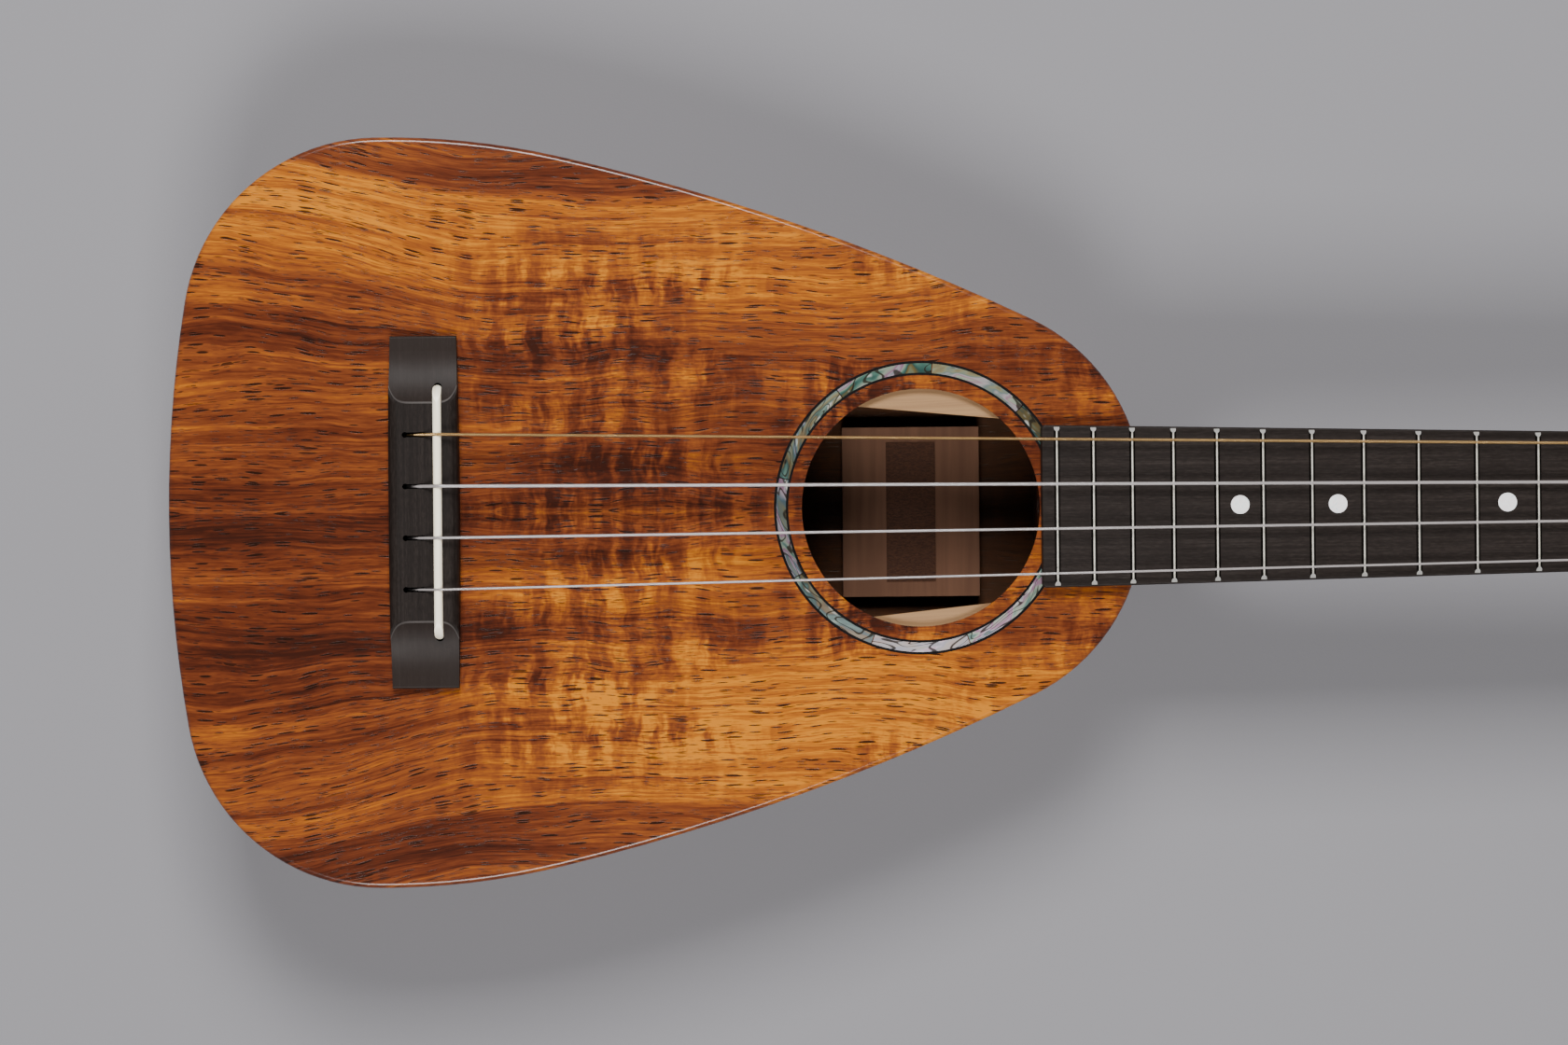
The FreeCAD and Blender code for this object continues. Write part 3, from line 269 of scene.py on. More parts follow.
def koa(
    name, lay, bands, other_bands=None, lift=(0.0, 0.0), flame=1.0, seed=0.0, width=110 * MM, inside=None
):
    """Koa: one tone from dark brown to pale gold, made of broad bands along the board, streaks, growth
    lines and a curly figure that breaks off from layer to layer; then short open pores. lay says how
    the grain lies: 'plate' is book-matched about the centreline, 'rim' runs round the sides. The
    treble half may have bands of its own, and lift lightens each half towards the headstock."""
    look = Look(name)
    if lay == "plate":
        along = look.x
        across = look.math("ABSOLUTE", look.y)
    else:
        turn = look.math("ARCTAN2", look.y, look.add(look.x, -RIM_CENTRE_X))
        along = look.times(look.math("ABSOLUTE", turn), RIM_MEAN_R)
        across = look.z
    drift = look.noise(look.at((along, 9), (across, 13), seed), 2.0)
    wander = look.noise(look.at((along, 30), (across, 45), seed + 4), 2.0)
    line = look.add(across, look.add(look.spread(drift, GRAIN_DRIFT), look.spread(wander, GRAIN_WANDER)))
    if lay == "plate":
        fan = look.times(look.step(look.x, 20 * MM, -80 * MM), look.step(across, -10 * MM, 90 * MM))
        line = look.add(line, look.times(fan, GRAIN_FAN))

    place = look.times(line, 1 / width)
    tone = look.profile(place, bands)
    bass = look.step(look.y, -0.05 * MM, 0.05 * MM)
    if other_bands is not None:
        other = look.profile(place, other_bands)
        tone = look.add(look.times(tone, bass), look.times(other, look.math("SUBTRACT", 1.0, bass)))
    if lift != (0.0, 0.0):
        near_hole = look.step(look.x, -15 * MM, 45 * MM)
        gain = look.add(lift[1], look.times(bass, lift[0] - lift[1]))
        tone = look.add(tone, look.times(near_hole, gain))

    broad = look.noise(look.at((along, 8), (line, 130), seed + 1), 2.0)
    streaks = look.noise(look.at((along, 9), (line, 420), seed), 5.0, 0.66)
    fibres = look.noise(look.at((along, 90), (line, 1300), seed), 3.0, 0.7)
    patches = look.noise(look.at((along, 18), (across, 30), seed + 6), 2.0)
    tone = look.add(tone, look.add(look.spread(broad, KOA_BROAD), look.spread(streaks, KOA_STREAKS)))
    tone = look.add(tone, look.add(look.spread(patches, KOA_PATCHES), look.spread(fibres, KOA_FIBRES)))

    where = look.noise(look.at((along, 15), (across, 30), seed + 2), 1.0)
    where = look.step(where, 0.30, 0.54)
    if lay == "plate":
        where = look.times(where, look.step(look.x, -15 * MM, 25 * MM))
        where = look.times(where, look.step(across, 88 * MM, 62 * MM))
    where = look.times(where, flame)
    sway = look.noise(look.at((along, 20), (across, 120), seed + 8), 2.0)
    curl_place = look.at(look.add(look.times(along, 190), sway), (across, 42), seed + 9)
    curl = look.noise(curl_place, 3.0, 0.6)
    strength = look.noise(look.at((along, 14), (line, 120), seed + 10), 1.0)
    strength = look.add(0.35, look.times(look.step(strength, 0.38, 0.60), 0.65))
    mottle = look.noise(look.at((along, 700), (line, 900), seed), 2.0)
    figure = look.times(look.add(look.step(curl, 0.38, 0.60), -0.60), strength)
    cloud = look.noise(look.at((along, 75), (across, 55), seed + 5), 3.0, 0.6)
    cloud = look.step(cloud, 0.50, 0.62)
    figure = look.add(look.times(figure, KOA_FIGURE), look.times(cloud, KOA_CLOUD))
    figure = look.add(figure, look.spread(mottle, KOA_MOTTLE))
    tone = look.add(tone, look.times(figure, where))

    growth = look.noise(look.at((along, 13), (line, 1500), seed + 3), 2.0, 0.5)
    growth = look.step(growth, 0.56, 0.67)
    tone = look.add(tone, look.times(growth, KOA_GROWTH))
    colour = look.ramp(tone, KOA_TONES)

    crowd = look.noise(look.at((along, 22), (line, 90), seed + 7), 2.0)
    pores = look.times(look.dashes(along, line, *PORES, seed), look.step(crowd, 0.30, 0.46))
    fine_pores = look.times(look.dashes(along, line, *FINE_PORES, seed + 30), look.step(crowd, 0.72, 0.40))
    pores = look.math("MAXIMUM", pores, look.times(fine_pores, 0.75))
    if lay == "plate":
        # The pores lie in the board's faces, so none shows on its thin edge.
        pores = look.times(pores, look.step(look.math("ABSOLUTE", look.normal()[2]), 0.45, 0.75))
    colour = look.mix(pores, colour, look.mix(0.5, look.scaled(colour, 0.12), PORE_TINT))

    coat = KOA_COAT
    rough = look.add(0.20, look.times(streaks, 0.08))
    if inside is not None:
        low, high, raw = inside
        above = look.step(look.z, low - 0.1 * MM, low)
        below = look.step(look.z, high + 0.1 * MM, high)
        hidden = look.times(above, below)
        colour = look.mix(hidden, colour, look.mix(0.85, colour, raw))
        coat = look.times(look.math("SUBTRACT", 1.0, hidden), KOA_COAT)
    height = look.add(look.times(pores, -1.0), look.times(fibres, 0.30))
    return look.finish(
        Base_Color=colour, Roughness=rough, Specular_IOR_Level=0.15, Coat_Weight=coat, Coat_Roughness=0.10,
        Normal=look.bump(height, 0.012 * MM),
    )


def timber(
    name, light, dark, axis="x", streak=260, fibre=1800, pores=0.0, pore_tint=0.3, rough=0.5, coat=0.0
):
    """Straight-grained wood along one axis of the instrument, with open pores if they are asked for."""
    look = Look(name)
    along, side, up = (look.x, look.y, look.z) if axis == "x" else (look.y, look.x, look.z)
    sway = look.times(look.add(look.noise(look.at((along, 14), side, up), 1.0), -0.5), 4 * MM)
    side = look.add(side, sway)
    broad = look.noise(look.at((along, 6), (side, streak), (up, streak)), 3.0, 0.6)
    fine = look.noise(look.at((along, 60), (side, fibre), (up, fibre)), 2.0)
    share = look.step(look.add(look.times(broad, 0.75), look.times(fine, 0.25)), 0.30, 0.68)
    colour = look.mix(share, dark, light)
    height = fine
    if pores:
        place = look.at((along, 260), (side, 1500), (up, 1500))
        distance, chance = look.cells(place)
        holes = look.step(look.math("SUBTRACT", distance, look.times(chance, 0.34)), 0.05, -0.05)
        holes = look.times(holes, pores)
        colour = look.mix(holes, colour, look.scaled(colour, pore_tint))
        height = look.add(look.times(fine, 0.3), look.times(holes, -1.0))
    roughness = look.add(rough, look.times(fine, 0.12))
    return look.finish(
        Base_Color=colour, Roughness=roughness, Coat_Weight=coat, Coat_Roughness=0.2,
        Normal=look.bump(height, 0.04 * MM),
    )


# the painted highlight along the edge where each scooped wing of the bridge starts: a U that is flat across
# the bridge's middle and runs out along its sides
BRIDGE_MID_X = -5.0 * MM
WING_START = 30.5 * MM
WING_CORNER = 5.0 * MM
WING_HALF_WIDTH = 9.6 * MM
WING_CORNER_POWER = 6.0


def ebony(name, axis, lift, wings=False):
    """Near-black ebony: faint brown-grey streaks, tiny pores and fine sanding lines along the grain. On
    the bridge the scooped wings are painted lighter and browner, a painted sheen, behind a painted highlight
    along a U-shaped edge."""
    look = Look(name)
    along, side = (look.x, look.y) if axis == "x" else (look.y, look.x)
    streak = look.noise(look.at((along, 16), (side, 900), (look.z, 300)), 4.0, 0.7)
    dust = look.noise(look.at((along, 500), (side, 2400), (look.z, 900)), 3.0, 0.7)
    share = look.add(look.times(streak, 0.55), look.times(dust, 0.45))
    colour = look.ramp(share, [
        (0.34, (0.0088 * lift, 0.0062 * lift, 0.0052 * lift)),
        (0.50, (0.0145 * lift, 0.0106 * lift, 0.0090 * lift)),
        (0.66, (0.0270 * lift, 0.0205 * lift, 0.0178 * lift)),
    ])
    grit = look.noise(look.at((along, 160), (side, 4200), (look.z, 900)), 2.0)
    scratches = look.step(grit, 0.64, 0.74)
    smudge = look.noise(look.at((look.x, 60), (look.y, 60), 3.0), 2.0)
    colour = look.mix(look.times(scratches, 0.35), colour, (0.040, 0.034, 0.031))
    if wings:
        off_middle = look.math("ABSOLUTE", look.add(look.x, -BRIDGE_MID_X))
        share = look.times(off_middle, 1 / WING_HALF_WIDTH)
        edge = look.times(look.math("POWER", share, WING_CORNER_POWER), WING_CORNER)
        past_edge = look.add(look.add(look.math("ABSOLUTE", look.y), -WING_START), look.times(edge, -1.0))
        wing = look.step(past_edge, 0.0, 0.3 * MM)
        # the wings are painted lighter and browner: a painted sheen
        colour = look.mix(look.times(wing, 0.55), colour, (0.0190, 0.0125, 0.0102))
        # a painted highlight along the U-shaped edge where each wing starts
        edge_highlight_band = look.step(look.math("ABSOLUTE", past_edge), 0.40 * MM, 0.12 * MM)
        wear_and_painted_highlight = look.times(edge_highlight_band, look.step(smudge, 0.20, 0.60))
        colour = look.mix(wear_and_painted_highlight, colour, (0.070, 0.062, 0.058))
    rough = look.add(0.36, look.times(smudge, 0.16))
    height = look.add(look.times(grit, 0.5), look.times(streak, 0.5))
    return look.finish(
        Base_Color=colour, Roughness=rough, Specular_IOR_Level=0.09, Normal=look.bump(height, 0.02 * MM)
    )


# the burnt-in panel of the label plaque: its centre and half sizes
PANEL_X = 132.5 * MM
PANEL_Y = -1.0 * MM
PANEL_HALF_LENGTH = 7.2 * MM
PANEL_HALF_WIDTH = 20.5 * MM
SOFT_EDGE = 0.1 * MM


def label_wood():
    """Pale planed wood with a burnt-in rectangular panel, left without lettering."""
    look = Look("label_wood")
    streak = look.noise(look.at((look.x, 300), (look.y, 16), 0.0), 3.0)
    colour = look.mix(look.step(streak, 0.35, 0.7), (0.112, 0.050, 0.026), (0.150, 0.069, 0.037))
    from_x = look.math("ABSOLUTE", look.add(look.x, -PANEL_X))
    from_y = look.math("ABSOLUTE", look.add(look.y, -PANEL_Y))
    inside_x = look.step(from_x, PANEL_HALF_LENGTH + SOFT_EDGE, PANEL_HALF_LENGTH - SOFT_EDGE)
    inside_y = look.step(from_y, PANEL_HALF_WIDTH + SOFT_EDGE, PANEL_HALF_WIDTH - SOFT_EDGE)
    panel = look.times(inside_x, inside_y)
    hatch = look.noise(look.at((look.x, 800), (look.y, 2600), 2.0), 3.0, 0.6, 1.2)
    burnt = look.mix(look.step(hatch, 0.35, 0.65), (0.034, 0.011, 0.004), (0.070, 0.025, 0.009))
    colour = look.mix(panel, colour, burnt)
    height = look.add(look.times(streak, 0.3), look.times(hatch, panel))
    return look.finish(
        Base_Color=colour, Roughness=0.62, Specular_IOR_Level=0.2, Normal=look.bump(height, 0.08 * MM)
    )


# --- shell, bone, metal, strings -------------------------------------------------------------------
SHELL_MID_R = 39 * MM


def abalone():
    """Curled bands of green, blue, pink and gold with dark growth lines, duller or brighter by piece; a
    painted sheen makes the shell paler and brighter towards the sides facing the lamps, and scattered pale
    patches are painted glints.
    """
    look = Look("abalone_shell")
    round_hole = look.math("ARCTAN2", look.y, look.add(look.x, -HOLE_X))
    behind = look.math("LESS_THAN", round_hole, 0.0)
    turned = look.add(round_hole, look.times(behind, 2 * math.pi))
    count = 0.0
    for joint in SHELL_JOINTS_DEG:
        count = look.add(count, look.math("GREATER_THAN", turned, math.radians(joint)))
    piece = look.math("FRACT", look.times(count, 0.618))
    other = look.math("FRACT", look.add(look.times(count, 0.43), 0.2))
    shift = look.times(count, 7.0)
    out = look.math("SQRT", look.add(
        look.math("POWER", look.add(look.x, -HOLE_X), 2.0), look.math("POWER", look.y, 2.0)
    ))
    slant = look.add(0.6, look.times(other, 1.6))
    lean = look.add(look.times(turned, SHELL_MID_R), look.times(out, slant))
    curl = look.noise(look.at((lean, 90), (out, 200), shift), 2.0, 0.5, 0.8)
    tone = look.math("FRACT", look.add(look.times(curl, 2.0), piece))
    colour = look.ramp(tone, [
        (0.00, (0.020, 0.080, 0.070)),
        (0.14, (0.075, 0.190, 0.150)),
        (0.28, (0.330, 0.400, 0.300)),
        (0.40, (0.300, 0.120, 0.230)),
        (0.52, (0.420, 0.360, 0.400)),
        (0.64, (0.050, 0.130, 0.160)),
        (0.78, (0.180, 0.200, 0.110)),
        (0.88, (0.160, 0.110, 0.030)),
        (1.00, (0.020, 0.080, 0.070)),
    ])
    # towards each side the shell gets a painted sheen, stronger where it faces the lamps
    towards_treble = look.step(look.y, -12 * MM, -38 * MM)
    towards_bass = look.step(look.y, 12 * MM, 36 * MM)
    # painted sheen: a pale share that grows towards the sides facing the lamps, on top of a small random
    # share per piece
    pale = look.mix(towards_bass, (0.62, 0.50, 0.56), (0.46, 0.44, 0.30))
    painted_sheen = look.add(look.times(towards_treble, 0.50), look.times(towards_bass, 0.30))
    silver = look.times(look.add(0.10, painted_sheen), other)
    colour = look.mix(silver, colour, pale)
    # painted light: each piece is brighter or duller at random, and brighter again towards the sides facing
    # the lamps
    painted_lamp_light = look.add(look.times(towards_treble, 0.42), look.times(towards_bass, 0.18))
    gain = look.add(look.add(0.24, look.times(piece, 0.22)), painted_lamp_light)
    colour = look.scaled(colour, gain)
    # painted glints: scattered pale grey patches on the shell
    painted_glint = look.noise(look.at((lean, 150), (out, 300), shift), 2.0)
    colour = look.mix(look.times(look.step(painted_glint, 0.62, 0.70), 0.60), colour, (0.46, 0.46, 0.42))
    vein = look.noise(look.at((lean, 75), (out, 150), look.add(shift, 5.0)), 1.0, 0.5, 0.6)
    ripple = look.math("ABSOLUTE", look.add(look.math("FRACT", look.times(vein, 8.0)), -0.5))
    colour = look.mix(look.times(look.step(ripple, 0.13, 0.05), 0.9), colour, (0.012, 0.009, 0.005))
    shine = look.add(0.14, look.times(curl, 0.2))
    return look.finish(
        Base_Color=colour, Roughness=shine, Specular_IOR_Level=0.3, Coat_Weight=0.35, Coat_Roughness=0.08,
        Normal=look.bump(curl, 0.02 * MM),
    )


def pearl():
    """Mother of pearl: white with faint blue and pink clouds."""
    look = Look("pearl")
    cloud = look.noise(look.at((look.x, 420), (look.y, 420), 0.0), 3.0, 0.55, 1.2)
    colour = look.ramp(cloud, [
        (0.30, (0.62, 0.66, 0.68)), (0.48, (0.84, 0.84, 0.82)),
        (0.60, (0.80, 0.74, 0.74)), (0.75, (0.88, 0.89, 0.86)),
    ])
    return look.finish(Base_Color=colour, Roughness=0.18, Coat_Weight=0.6, Coat_Roughness=0.08)


def bone():
    """Bleached bone: near white with faint warm lines."""
    look = Look("bone")
    veins = look.noise(look.at((look.x, 900), (look.y, 60), (look.z, 300)), 3.0, 0.6)
    colour = look.mix(look.step(veins, 0.3, 0.7), (0.90, 0.80, 0.60), (1.00, 0.95, 0.78))
    return look.finish(Base_Color=colour, Roughness=0.34, Normal=look.bump(veins, 0.02 * MM))


def metal(name, colour, rough, brush):
    """Plated or machined metal with drawn lines and light handling marks."""
    look = Look(name)
    lines = look.noise(look.at((look.y, 120), (look.x, 5200), (look.z, 5200)), 2.0)
    marks = look.noise(look.at((look.x, 240), (look.y, 240), (look.z, 240)), 3.0)
    tint = look.mix(look.step(marks, 0.35, 0.7), tuple(0.82 * c for c in colour), colour)
    roughness = look.add(rough, look.add(look.times(marks, 0.10), look.times(lines, brush)))
    return look.finish(
        Base_Color=tint, Metallic=1.0, Roughness=roughness, Normal=look.bump(lines, 0.008 * MM)
    )


def fret_wire():
    """Nickel silver wire: a painted highlight along its levelled crown, painted shade on its flanks and
    painted highlights on its coarsely filed ends.
    """
    look = Look("nickel_silver")
    facing = look.normal()
    # painted highlight on the crown, where the wire faces up, and painted shade on the flanks
    crown = look.step(facing[2], 0.90, 0.992)
    # painted highlights on the filed end facets
    filed = look.step(look.math("ABSOLUTE", facing[1]), 0.30, 0.45)
    scratch = look.noise(look.at((look.x, 600), (look.y, 3200), 0.0), 3.0, 0.6)
    colour = look.mix(crown, (0.045, 0.040, 0.034), (0.90, 0.85, 0.74))
    colour = look.mix(look.times(look.step(scratch, 0.55, 0.72), 0.4), colour, look.scaled(colour, 0.5))
    colour = look.mix(filed, colour, (0.96, 0.93, 0.86))
    wear_and_painted_highlight = look.add(look.times(filed, 0.12), look.spread(scratch, 0.10))
    rough = look.add(look.add(0.26, look.times(crown, 0.14)), wear_and_painted_highlight)
    return look.finish(
        Base_Color=colour, Metallic=1.0, Roughness=rough, Normal=look.bump(scratch, 0.004 * MM)
    )


def plain_string():
    """Clear fluorocarbon: milky, glossy and slightly see-through."""
    look = Look("plain_string")
    haze = look.noise(look.at((look.x, 90), (look.y, 900), (look.z, 900)), 2.0)
    colour = look.mix(haze, (0.32, 0.290, 0.285), (0.44, 0.400, 0.39))
    return look.finish(
        Base_Color=colour, Roughness=0.22, Transmission_Weight=0.35, IOR=1.42, Coat_Weight=0.3
    )


WRAP_PITCH = 0.17 * MM
# how dark the speckles of a glossy material are, as a share of its colour
SPECKLE = 0.7


def wound_string():
    """Copper-coloured wire wound on a thin core: fine ridges across the string, with painted shade in the
    grooves between the turns.
    """
    look = Look("wound_string")
    turns = look.math("SINE", look.times(look.x, 2 * math.pi / WRAP_PITCH))
    wear = look.noise(look.at((look.x, 160), 0.0, 0.0), 2.0)
    colour = look.mix(wear, (0.66, 0.40, 0.15), (0.90, 0.60, 0.26))
    # painted shade in the grooves between the turns
    colour = look.mix(look.step(turns, -0.2, -0.9), colour, (0.24, 0.12, 0.04))
    return look.finish(
        Base_Color=colour, Metallic=0.85, Roughness=0.32, Normal=look.bump(turns, 0.03 * MM)
    )


def glossy(name, colour, rough, coat=0.4):
    """A dark polished plastic or lacquered wood with a fine speckle."""
    look = Look(name)
    grain = look.noise(look.at((look.x, 900), (look.y, 900), (look.z, 900)), 3.0)
    tint = look.mix(grain, tuple(SPECKLE * c for c in colour), colour)
    roughness = look.add(rough, look.times(grain, 0.12))
    return look.finish(
        Base_Color=tint, Roughness=roughness, Specular_IOR_Level=0.3, Coat_Weight=coat, Coat_Roughness=0.1,
        Normal=look.bump(grain, 0.01 * MM),
    )


def floor_paper():
    """Matte seamless paper."""
    look = Look("floor_paper")
    mottle = look.noise(look.at((look.x, 3), (look.y, 3), 0.0), 3.0)
    tooth = look.noise(look.at((look.x, 1400), (look.y, 1400), 0.0), 2.0)
    colour = look.mix(mottle, (0.198, 0.193, 0.204), (0.222, 0.217, 0.228))
    return look.finish(
        Base_Color=colour, Roughness=0.9, Specular_IOR_Level=0.2, Normal=look.bump(tooth, 0.03 * MM)
    )


# --- assigning materials ---------------------------------------------------------------------------
def paint(material, *names):
    """Gives CAD nodes one material."""
    for name in names:
        slots = NODES[name].data.materials
        slots.clear()
        slots.append(material)


# tone along the board from the centreline outwards, as (share of the board's width, tone)
TOP_BASS_BANDS = [
    (0.00, 0.38), (0.14, 0.40), (0.20, 0.54), (0.33, 0.55), (0.38, 0.41), (0.45, 0.56),
    (0.50, 0.66), (0.62, 0.80), (0.79, 0.88), (0.82, 0.34), (0.90, 0.50), (1.00, 0.40),
]
TOP_TREBLE_BANDS = [
    (0.00, 0.18), (0.10, 0.26), (0.15, 0.46), (0.23, 0.40), (0.28, 0.15), (0.31, 0.13),
    (0.36, 0.42), (0.46, 0.54), (0.74, 0.52), (0.78, 0.14), (0.86, 0.14), (0.93, 0.44),
]
BACK_BANDS = [
    (0.00, 0.42), (0.14, 0.62), (0.27, 0.34), (0.36, 0.58), (0.60, 0.72), (0.78, 0.50), (1.00, 0.34),
]
RIM_BANDS = [(0.00, 0.40), (0.25, 0.58), (0.45, 0.30), (0.62, 0.60), (1.00, 0.44)]
# tones of the unfinished wood inside the box, and of the spruce braces
RAW_KOA = (0.052, 0.026, 0.014)
SPRUCE_LIGHT = (0.30, 0.166, 0.064)
SPRUCE_DARK = (0.215, 0.109, 0.039)
# how much lighter each half of the top gets towards the headstock: bass, treble
TOP_LIFT = (-0.02, 0.34)


def dress():
    """Puts a material on every CAD node. Returns the strings' materials, by string."""
    top = koa(
        "koa_top", "plate", TOP_BASS_BANDS, TOP_TREBLE_BANDS, lift=TOP_LIFT,
        inside=(60 * MM, TOP_UNDER_Z, RAW_KOA),
    )
    paint(top, "top_bass_half", "top_treble_half")
    back = koa("koa_back", "plate", BACK_BANDS, flame=0.8, seed=21.0, inside=(BACK_INNER_Z, 20 * MM, RAW_KOA))
    paint(back, "back_bass_half", "back_treble_half")
    rim = koa("koa_sides", "rim", RIM_BANDS, flame=0.9, seed=43.0, width=68 * MM)
    paint(rim, "side_bass", "side_treble")
    veneer = koa("koa_headstock", "plate", BACK_BANDS, flame=0.7, seed=67.0, width=40 * MM)
    paint(veneer, "headstock_veneer")
    mahogany = timber(
        "mahogany", (0.150, 0.046, 0.018), (0.075, 0.021, 0.009), "x", 190, 1500, 0.8, 0.35, 0.34, 0.4
    )
    paint(mahogany, "neck", "neck_block", "tail_block", "kerfed_linings")
    spruce = timber("spruce", SPRUCE_LIGHT, SPRUCE_DARK, "x", 620, 2600, rough=0.6)
    paint(spruce, "soundhole_braces", "fan_braces", "bridge_plate")
    spruce_across = timber("spruce_across", SPRUCE_LIGHT, SPRUCE_DARK, "y", 620, 2600, rough=0.6)
    paint(spruce_across, "cross_brace", "back_braces")
    paint(ebony("ebony_board", "x", 0.90), "fretboard", "heel_cap")
    paint(ebony("ebony_bridge", "y", 0.78, wings=True), "bridge")
    paint(label_wood(), "label_plaque")
    paint(abalone(), "rosette_shell")
    paint(glossy("black_purfling", (0.006, 0.005, 0.005), 0.16, coat=0.0), "rosette_purfling")
    paint(pearl(), "position_dots", "side_dots")
    paint(bone(), "saddle", "nut")
    paint(fret_wire(), "frets")
    chrome = metal("tuner_plating", (0.72, 0.72, 0.73), 0.06, 0.06)
    for key in STRINGS:
        paint(chrome, "post_" + key, "worm_shaft_" + key, "gear_screw_" + key)
    paint(chrome, "tuner_plates", "tuner_bushings", "tuner_screws")
    brass = metal("brass", (0.78, 0.57, 0.25), 0.18, 0.08)
    paint(brass, "gear_g", "gear_c", "gear_e", "gear_a", "neck_inserts")
    paint(metal("bolt_steel", (0.20, 0.20, 0.21), 0.30, 0.10), "neck_bolts")
    black = glossy("button_black", (0.022, 0.022, 0.024), 0.10)
    paint(black, "button_g", "button_c", "button_e", "button_a")
    plain = plain_string()
    wound = wound_string()
    paint(wound, "string_g")
    paint(plain, "string_c", "string_e", "string_a")
    return {"g": wound, "c": plain, "e": plain, "a": plain}


# --- string coils on the posts ---------------------------------------------------------------------
HEAD_X = Vector((math.cos(HEAD_TILT), 0, -math.sin(HEAD_TILT)))
HEAD_Z = Vector((math.sin(HEAD_TILT), 0, math.cos(HEAD_TILT)))


def head_point(along, across, height):
    """A point by its place on the headstock's face and its height above it."""
    return HEAD_ORIGIN + HEAD_X * along + Vector((0, across, 0)) + HEAD_Z * height


def thread_curve(name, points, radius, material, body):
    """A round thread of string through the points, smoothed by a spline."""
    data = bpy.data.curves.new(name, "CURVE")
    data.dimensions = "3D"
    data.bevel_depth = radius
    data.bevel_resolution = 3
    data.resolution_u = 4
    data.use_fill_caps = True
    spline = data.splines.new("NURBS")
    spline.points.add(len(points) - 1)
    for point, place in zip(spline.points, points):
        point.co = (*place, 1)
    spline.order_u = 3
    spline.use_endpoint_u = True
    data.materials.append(material)
    obj = bpy.data.objects.new(name, data)
    bpy.context.scene.collection.objects.link(obj)
    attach(obj, body)
    return obj


def string_coil(key, material):
    """The turns round one post, up to its hole, through it and out as a clipped end; and the short
    straight piece that brings the string to its first turn."""
    radius, along, across, place = STRINGS[key]
    side = math.copysign(1, across)
    ring = POST_WAIST_R + radius
    pitch = 2 * radius
    points = []
    for i in range(int(WINDING_TURNS * POINTS_PER_TURN) + 1):
        angle = -math.pi / 2 + 2 * math.pi * i / POINTS_PER_TURN
        height = WINDING_BASE + radius + pitch * i / POINTS_PER_TURN
        points.append((ring * math.cos(angle), side * ring * math.sin(angle), height))
    last = points[-1][2]
    for share in (0.25, 0.5, 0.75, 1.0):
        angle = math.pi / 2 + math.pi / 2 * share
        height = last + (POST_HOLE_HEIGHT - last) * share
        points.append((ring * math.cos(angle), side * ring * math.sin(angle), height))
    for reach in (-ring * 0.75, -ring * 0.4, 0.0, ring * 0.5, ring + 1.2 * MM):
        points.append((reach, 0, POST_HOLE_HEIGHT))
    points.append((ring + 3.4 * MM, side * 0.5 * MM, POST_HOLE_HEIGHT + 0.5 * MM))
    placed = [head_point(along + p[0], across + p[1], p[2]) for p in points]
    coil = thread_curve("string_coil_" + key, placed, radius, material, "post_" + key)
    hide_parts("winding_" + key)

    start = Vector((SCALE + 0.6 * MM, place * STRING_SPREAD_NUT / STRING_SPACES, NUT_SLOT_Z + radius))
    target = head_point(along, across - side * ring, WINDING_BASE + radius)
    outside = POST_WAIST_R + 2 * radius + 0.15 * MM
    gap = math.sqrt(outside**2 - POST_WAIST_R**2)
    near = target + (start - target).normalized() * (gap + 0.3 * MM)
    route = [near, (near + target) / 2, target]
    lead = thread_curve("string_lead_" + key, route, radius, material, "instrument")


# --- studio ----------------------------------------------------------------------------------------
SOFTBOX_SIZE = 0.6
SOFTBOX_X = 0.02
SOFTBOX_Y = 0.92
SOFTBOX_Z = 1.45
SOFTBOX_TARGET = (0.1, 0, 0.05)
BASS_POWER = 38.5
TREBLE_POWER = 30
FLOOR_HALF = 3.0
FLOOR_X = 0.2
FLOOR_Z = -0.3 * MM
# the room's strength from the horizon up to HORIZON_RISE, and from ZENITH_RISE up, as the sine of height
HORIZON_RISE = 0.70
ZENITH_RISE = 0.96
HORIZON_STRENGTH = 0.38
ZENITH_STRENGTH = 0.05


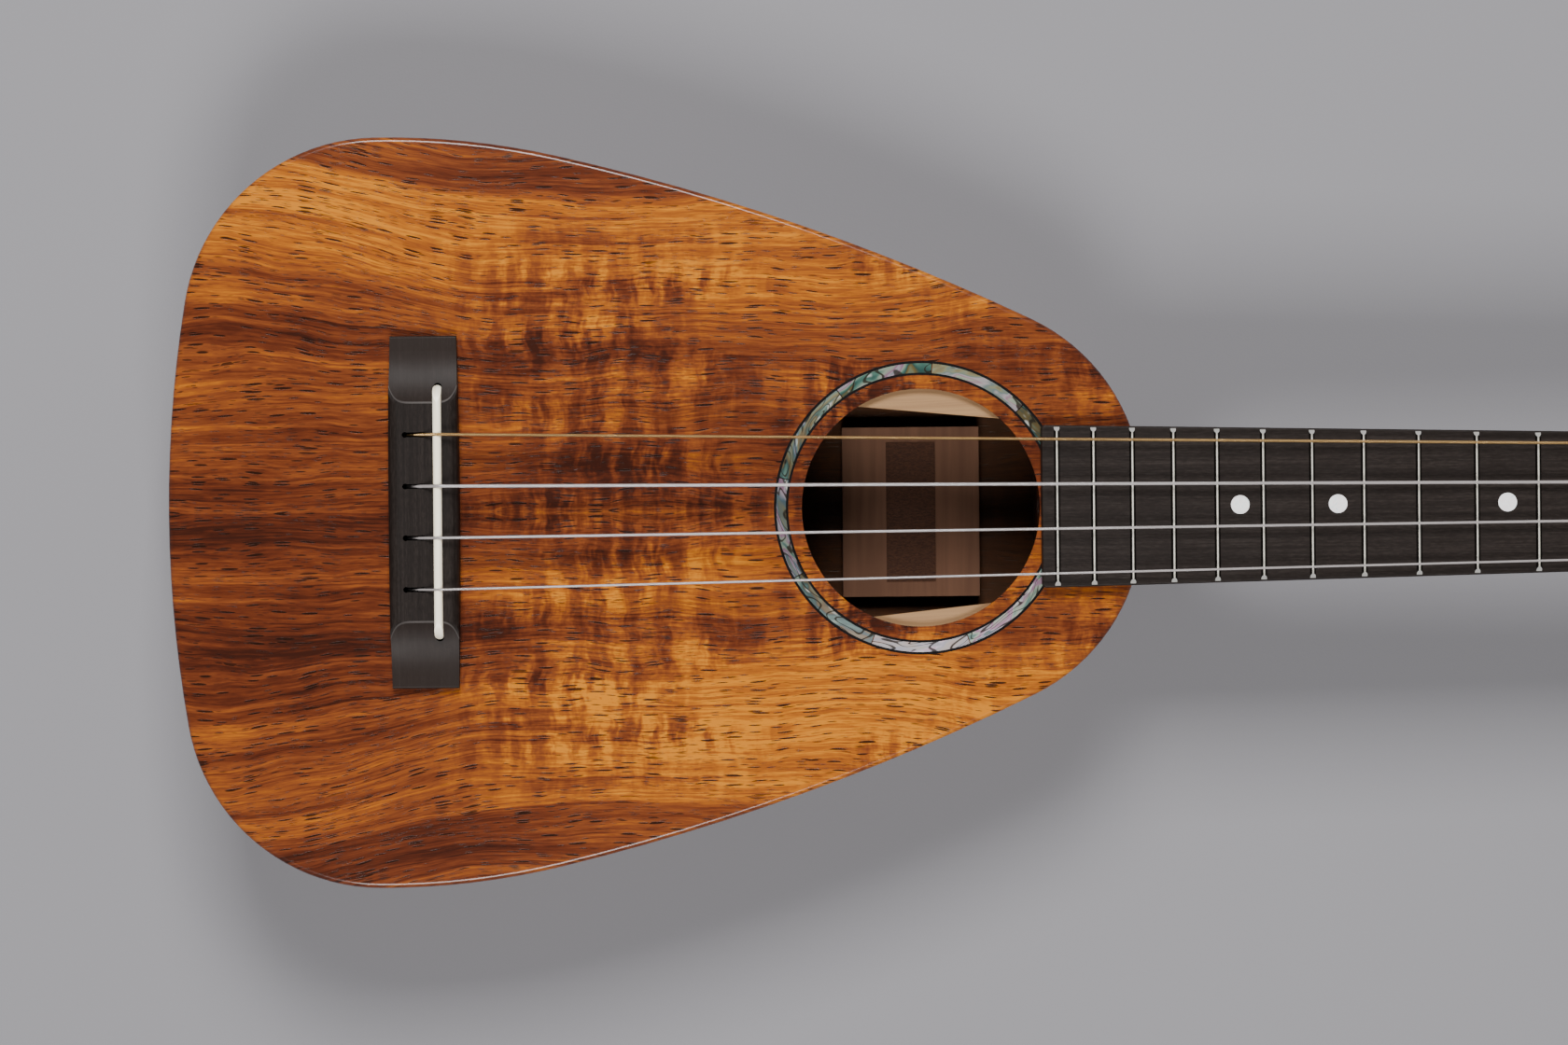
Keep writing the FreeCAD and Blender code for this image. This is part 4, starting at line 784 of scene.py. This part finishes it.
def softbox(name, side, power):
    """A square soft lamp high on one side of the instrument, aimed at its body."""
    data = bpy.data.lights.new(name, "AREA")
    data.shape = "RECTANGLE"
    data.size = data.size_y = SOFTBOX_SIZE
    data.energy = power
    place = Vector((SOFTBOX_X, side * SOFTBOX_Y, SOFTBOX_Z))
    light = bpy.data.objects.new(name, data)
    light.location = place
    aim = Vector(SOFTBOX_TARGET) - place
    light.rotation_euler = aim.to_track_quat("-Z", "Y").to_euler()
    bpy.context.scene.collection.objects.link(light)


def make_studio():
    mesh = bpy.data.meshes.new("floor")
    half = FLOOR_HALF
    corners = [(-half, -half, 0), (half, -half, 0), (half, half, 0), (-half, half, 0)]
    mesh.from_pydata(corners, [], [(0, 1, 2, 3)])
    mesh.materials.append(floor_paper())
    floor = bpy.data.objects.new("floor", mesh)
    floor.location = (FLOOR_X, 0, FLOOR_Z)
    bpy.context.scene.collection.objects.link(floor)
    make_world()
    softbox("softbox_bass", 1, BASS_POWER)
    softbox("softbox_treble", -1, TREBLE_POWER)


def make_world():
    """A dim room, darker overhead than at the horizon, so the flat polished top reflects little."""
    world = bpy.data.worlds.new("studio")
    world.use_nodes = True
    tree = world.node_tree
    direction = tree.nodes.new("ShaderNodeTexCoord")
    split = tree.nodes.new("ShaderNodeSeparateXYZ")
    rise = tree.nodes.new("ShaderNodeMapRange")
    rise.interpolation_type = "SMOOTHSTEP"
    rise.inputs["From Min"].default_value = HORIZON_RISE
    rise.inputs["From Max"].default_value = ZENITH_RISE
    rise.inputs["To Min"].default_value = HORIZON_STRENGTH
    rise.inputs["To Max"].default_value = ZENITH_STRENGTH
    background = tree.nodes["Background"]
    background.inputs[0].default_value = (0.80, 0.81, 0.84, 1)
    tree.links.new(direction.outputs["Generated"], split.inputs[0])
    tree.links.new(split.outputs["Z"], rise.inputs["Value"])
    tree.links.new(rise.outputs["Result"], background.inputs[1])
    bpy.context.scene.world = world


make_camera()
string_materials = dress()
for key in STRINGS:
    string_coil(key, string_materials[key])
make_studio()
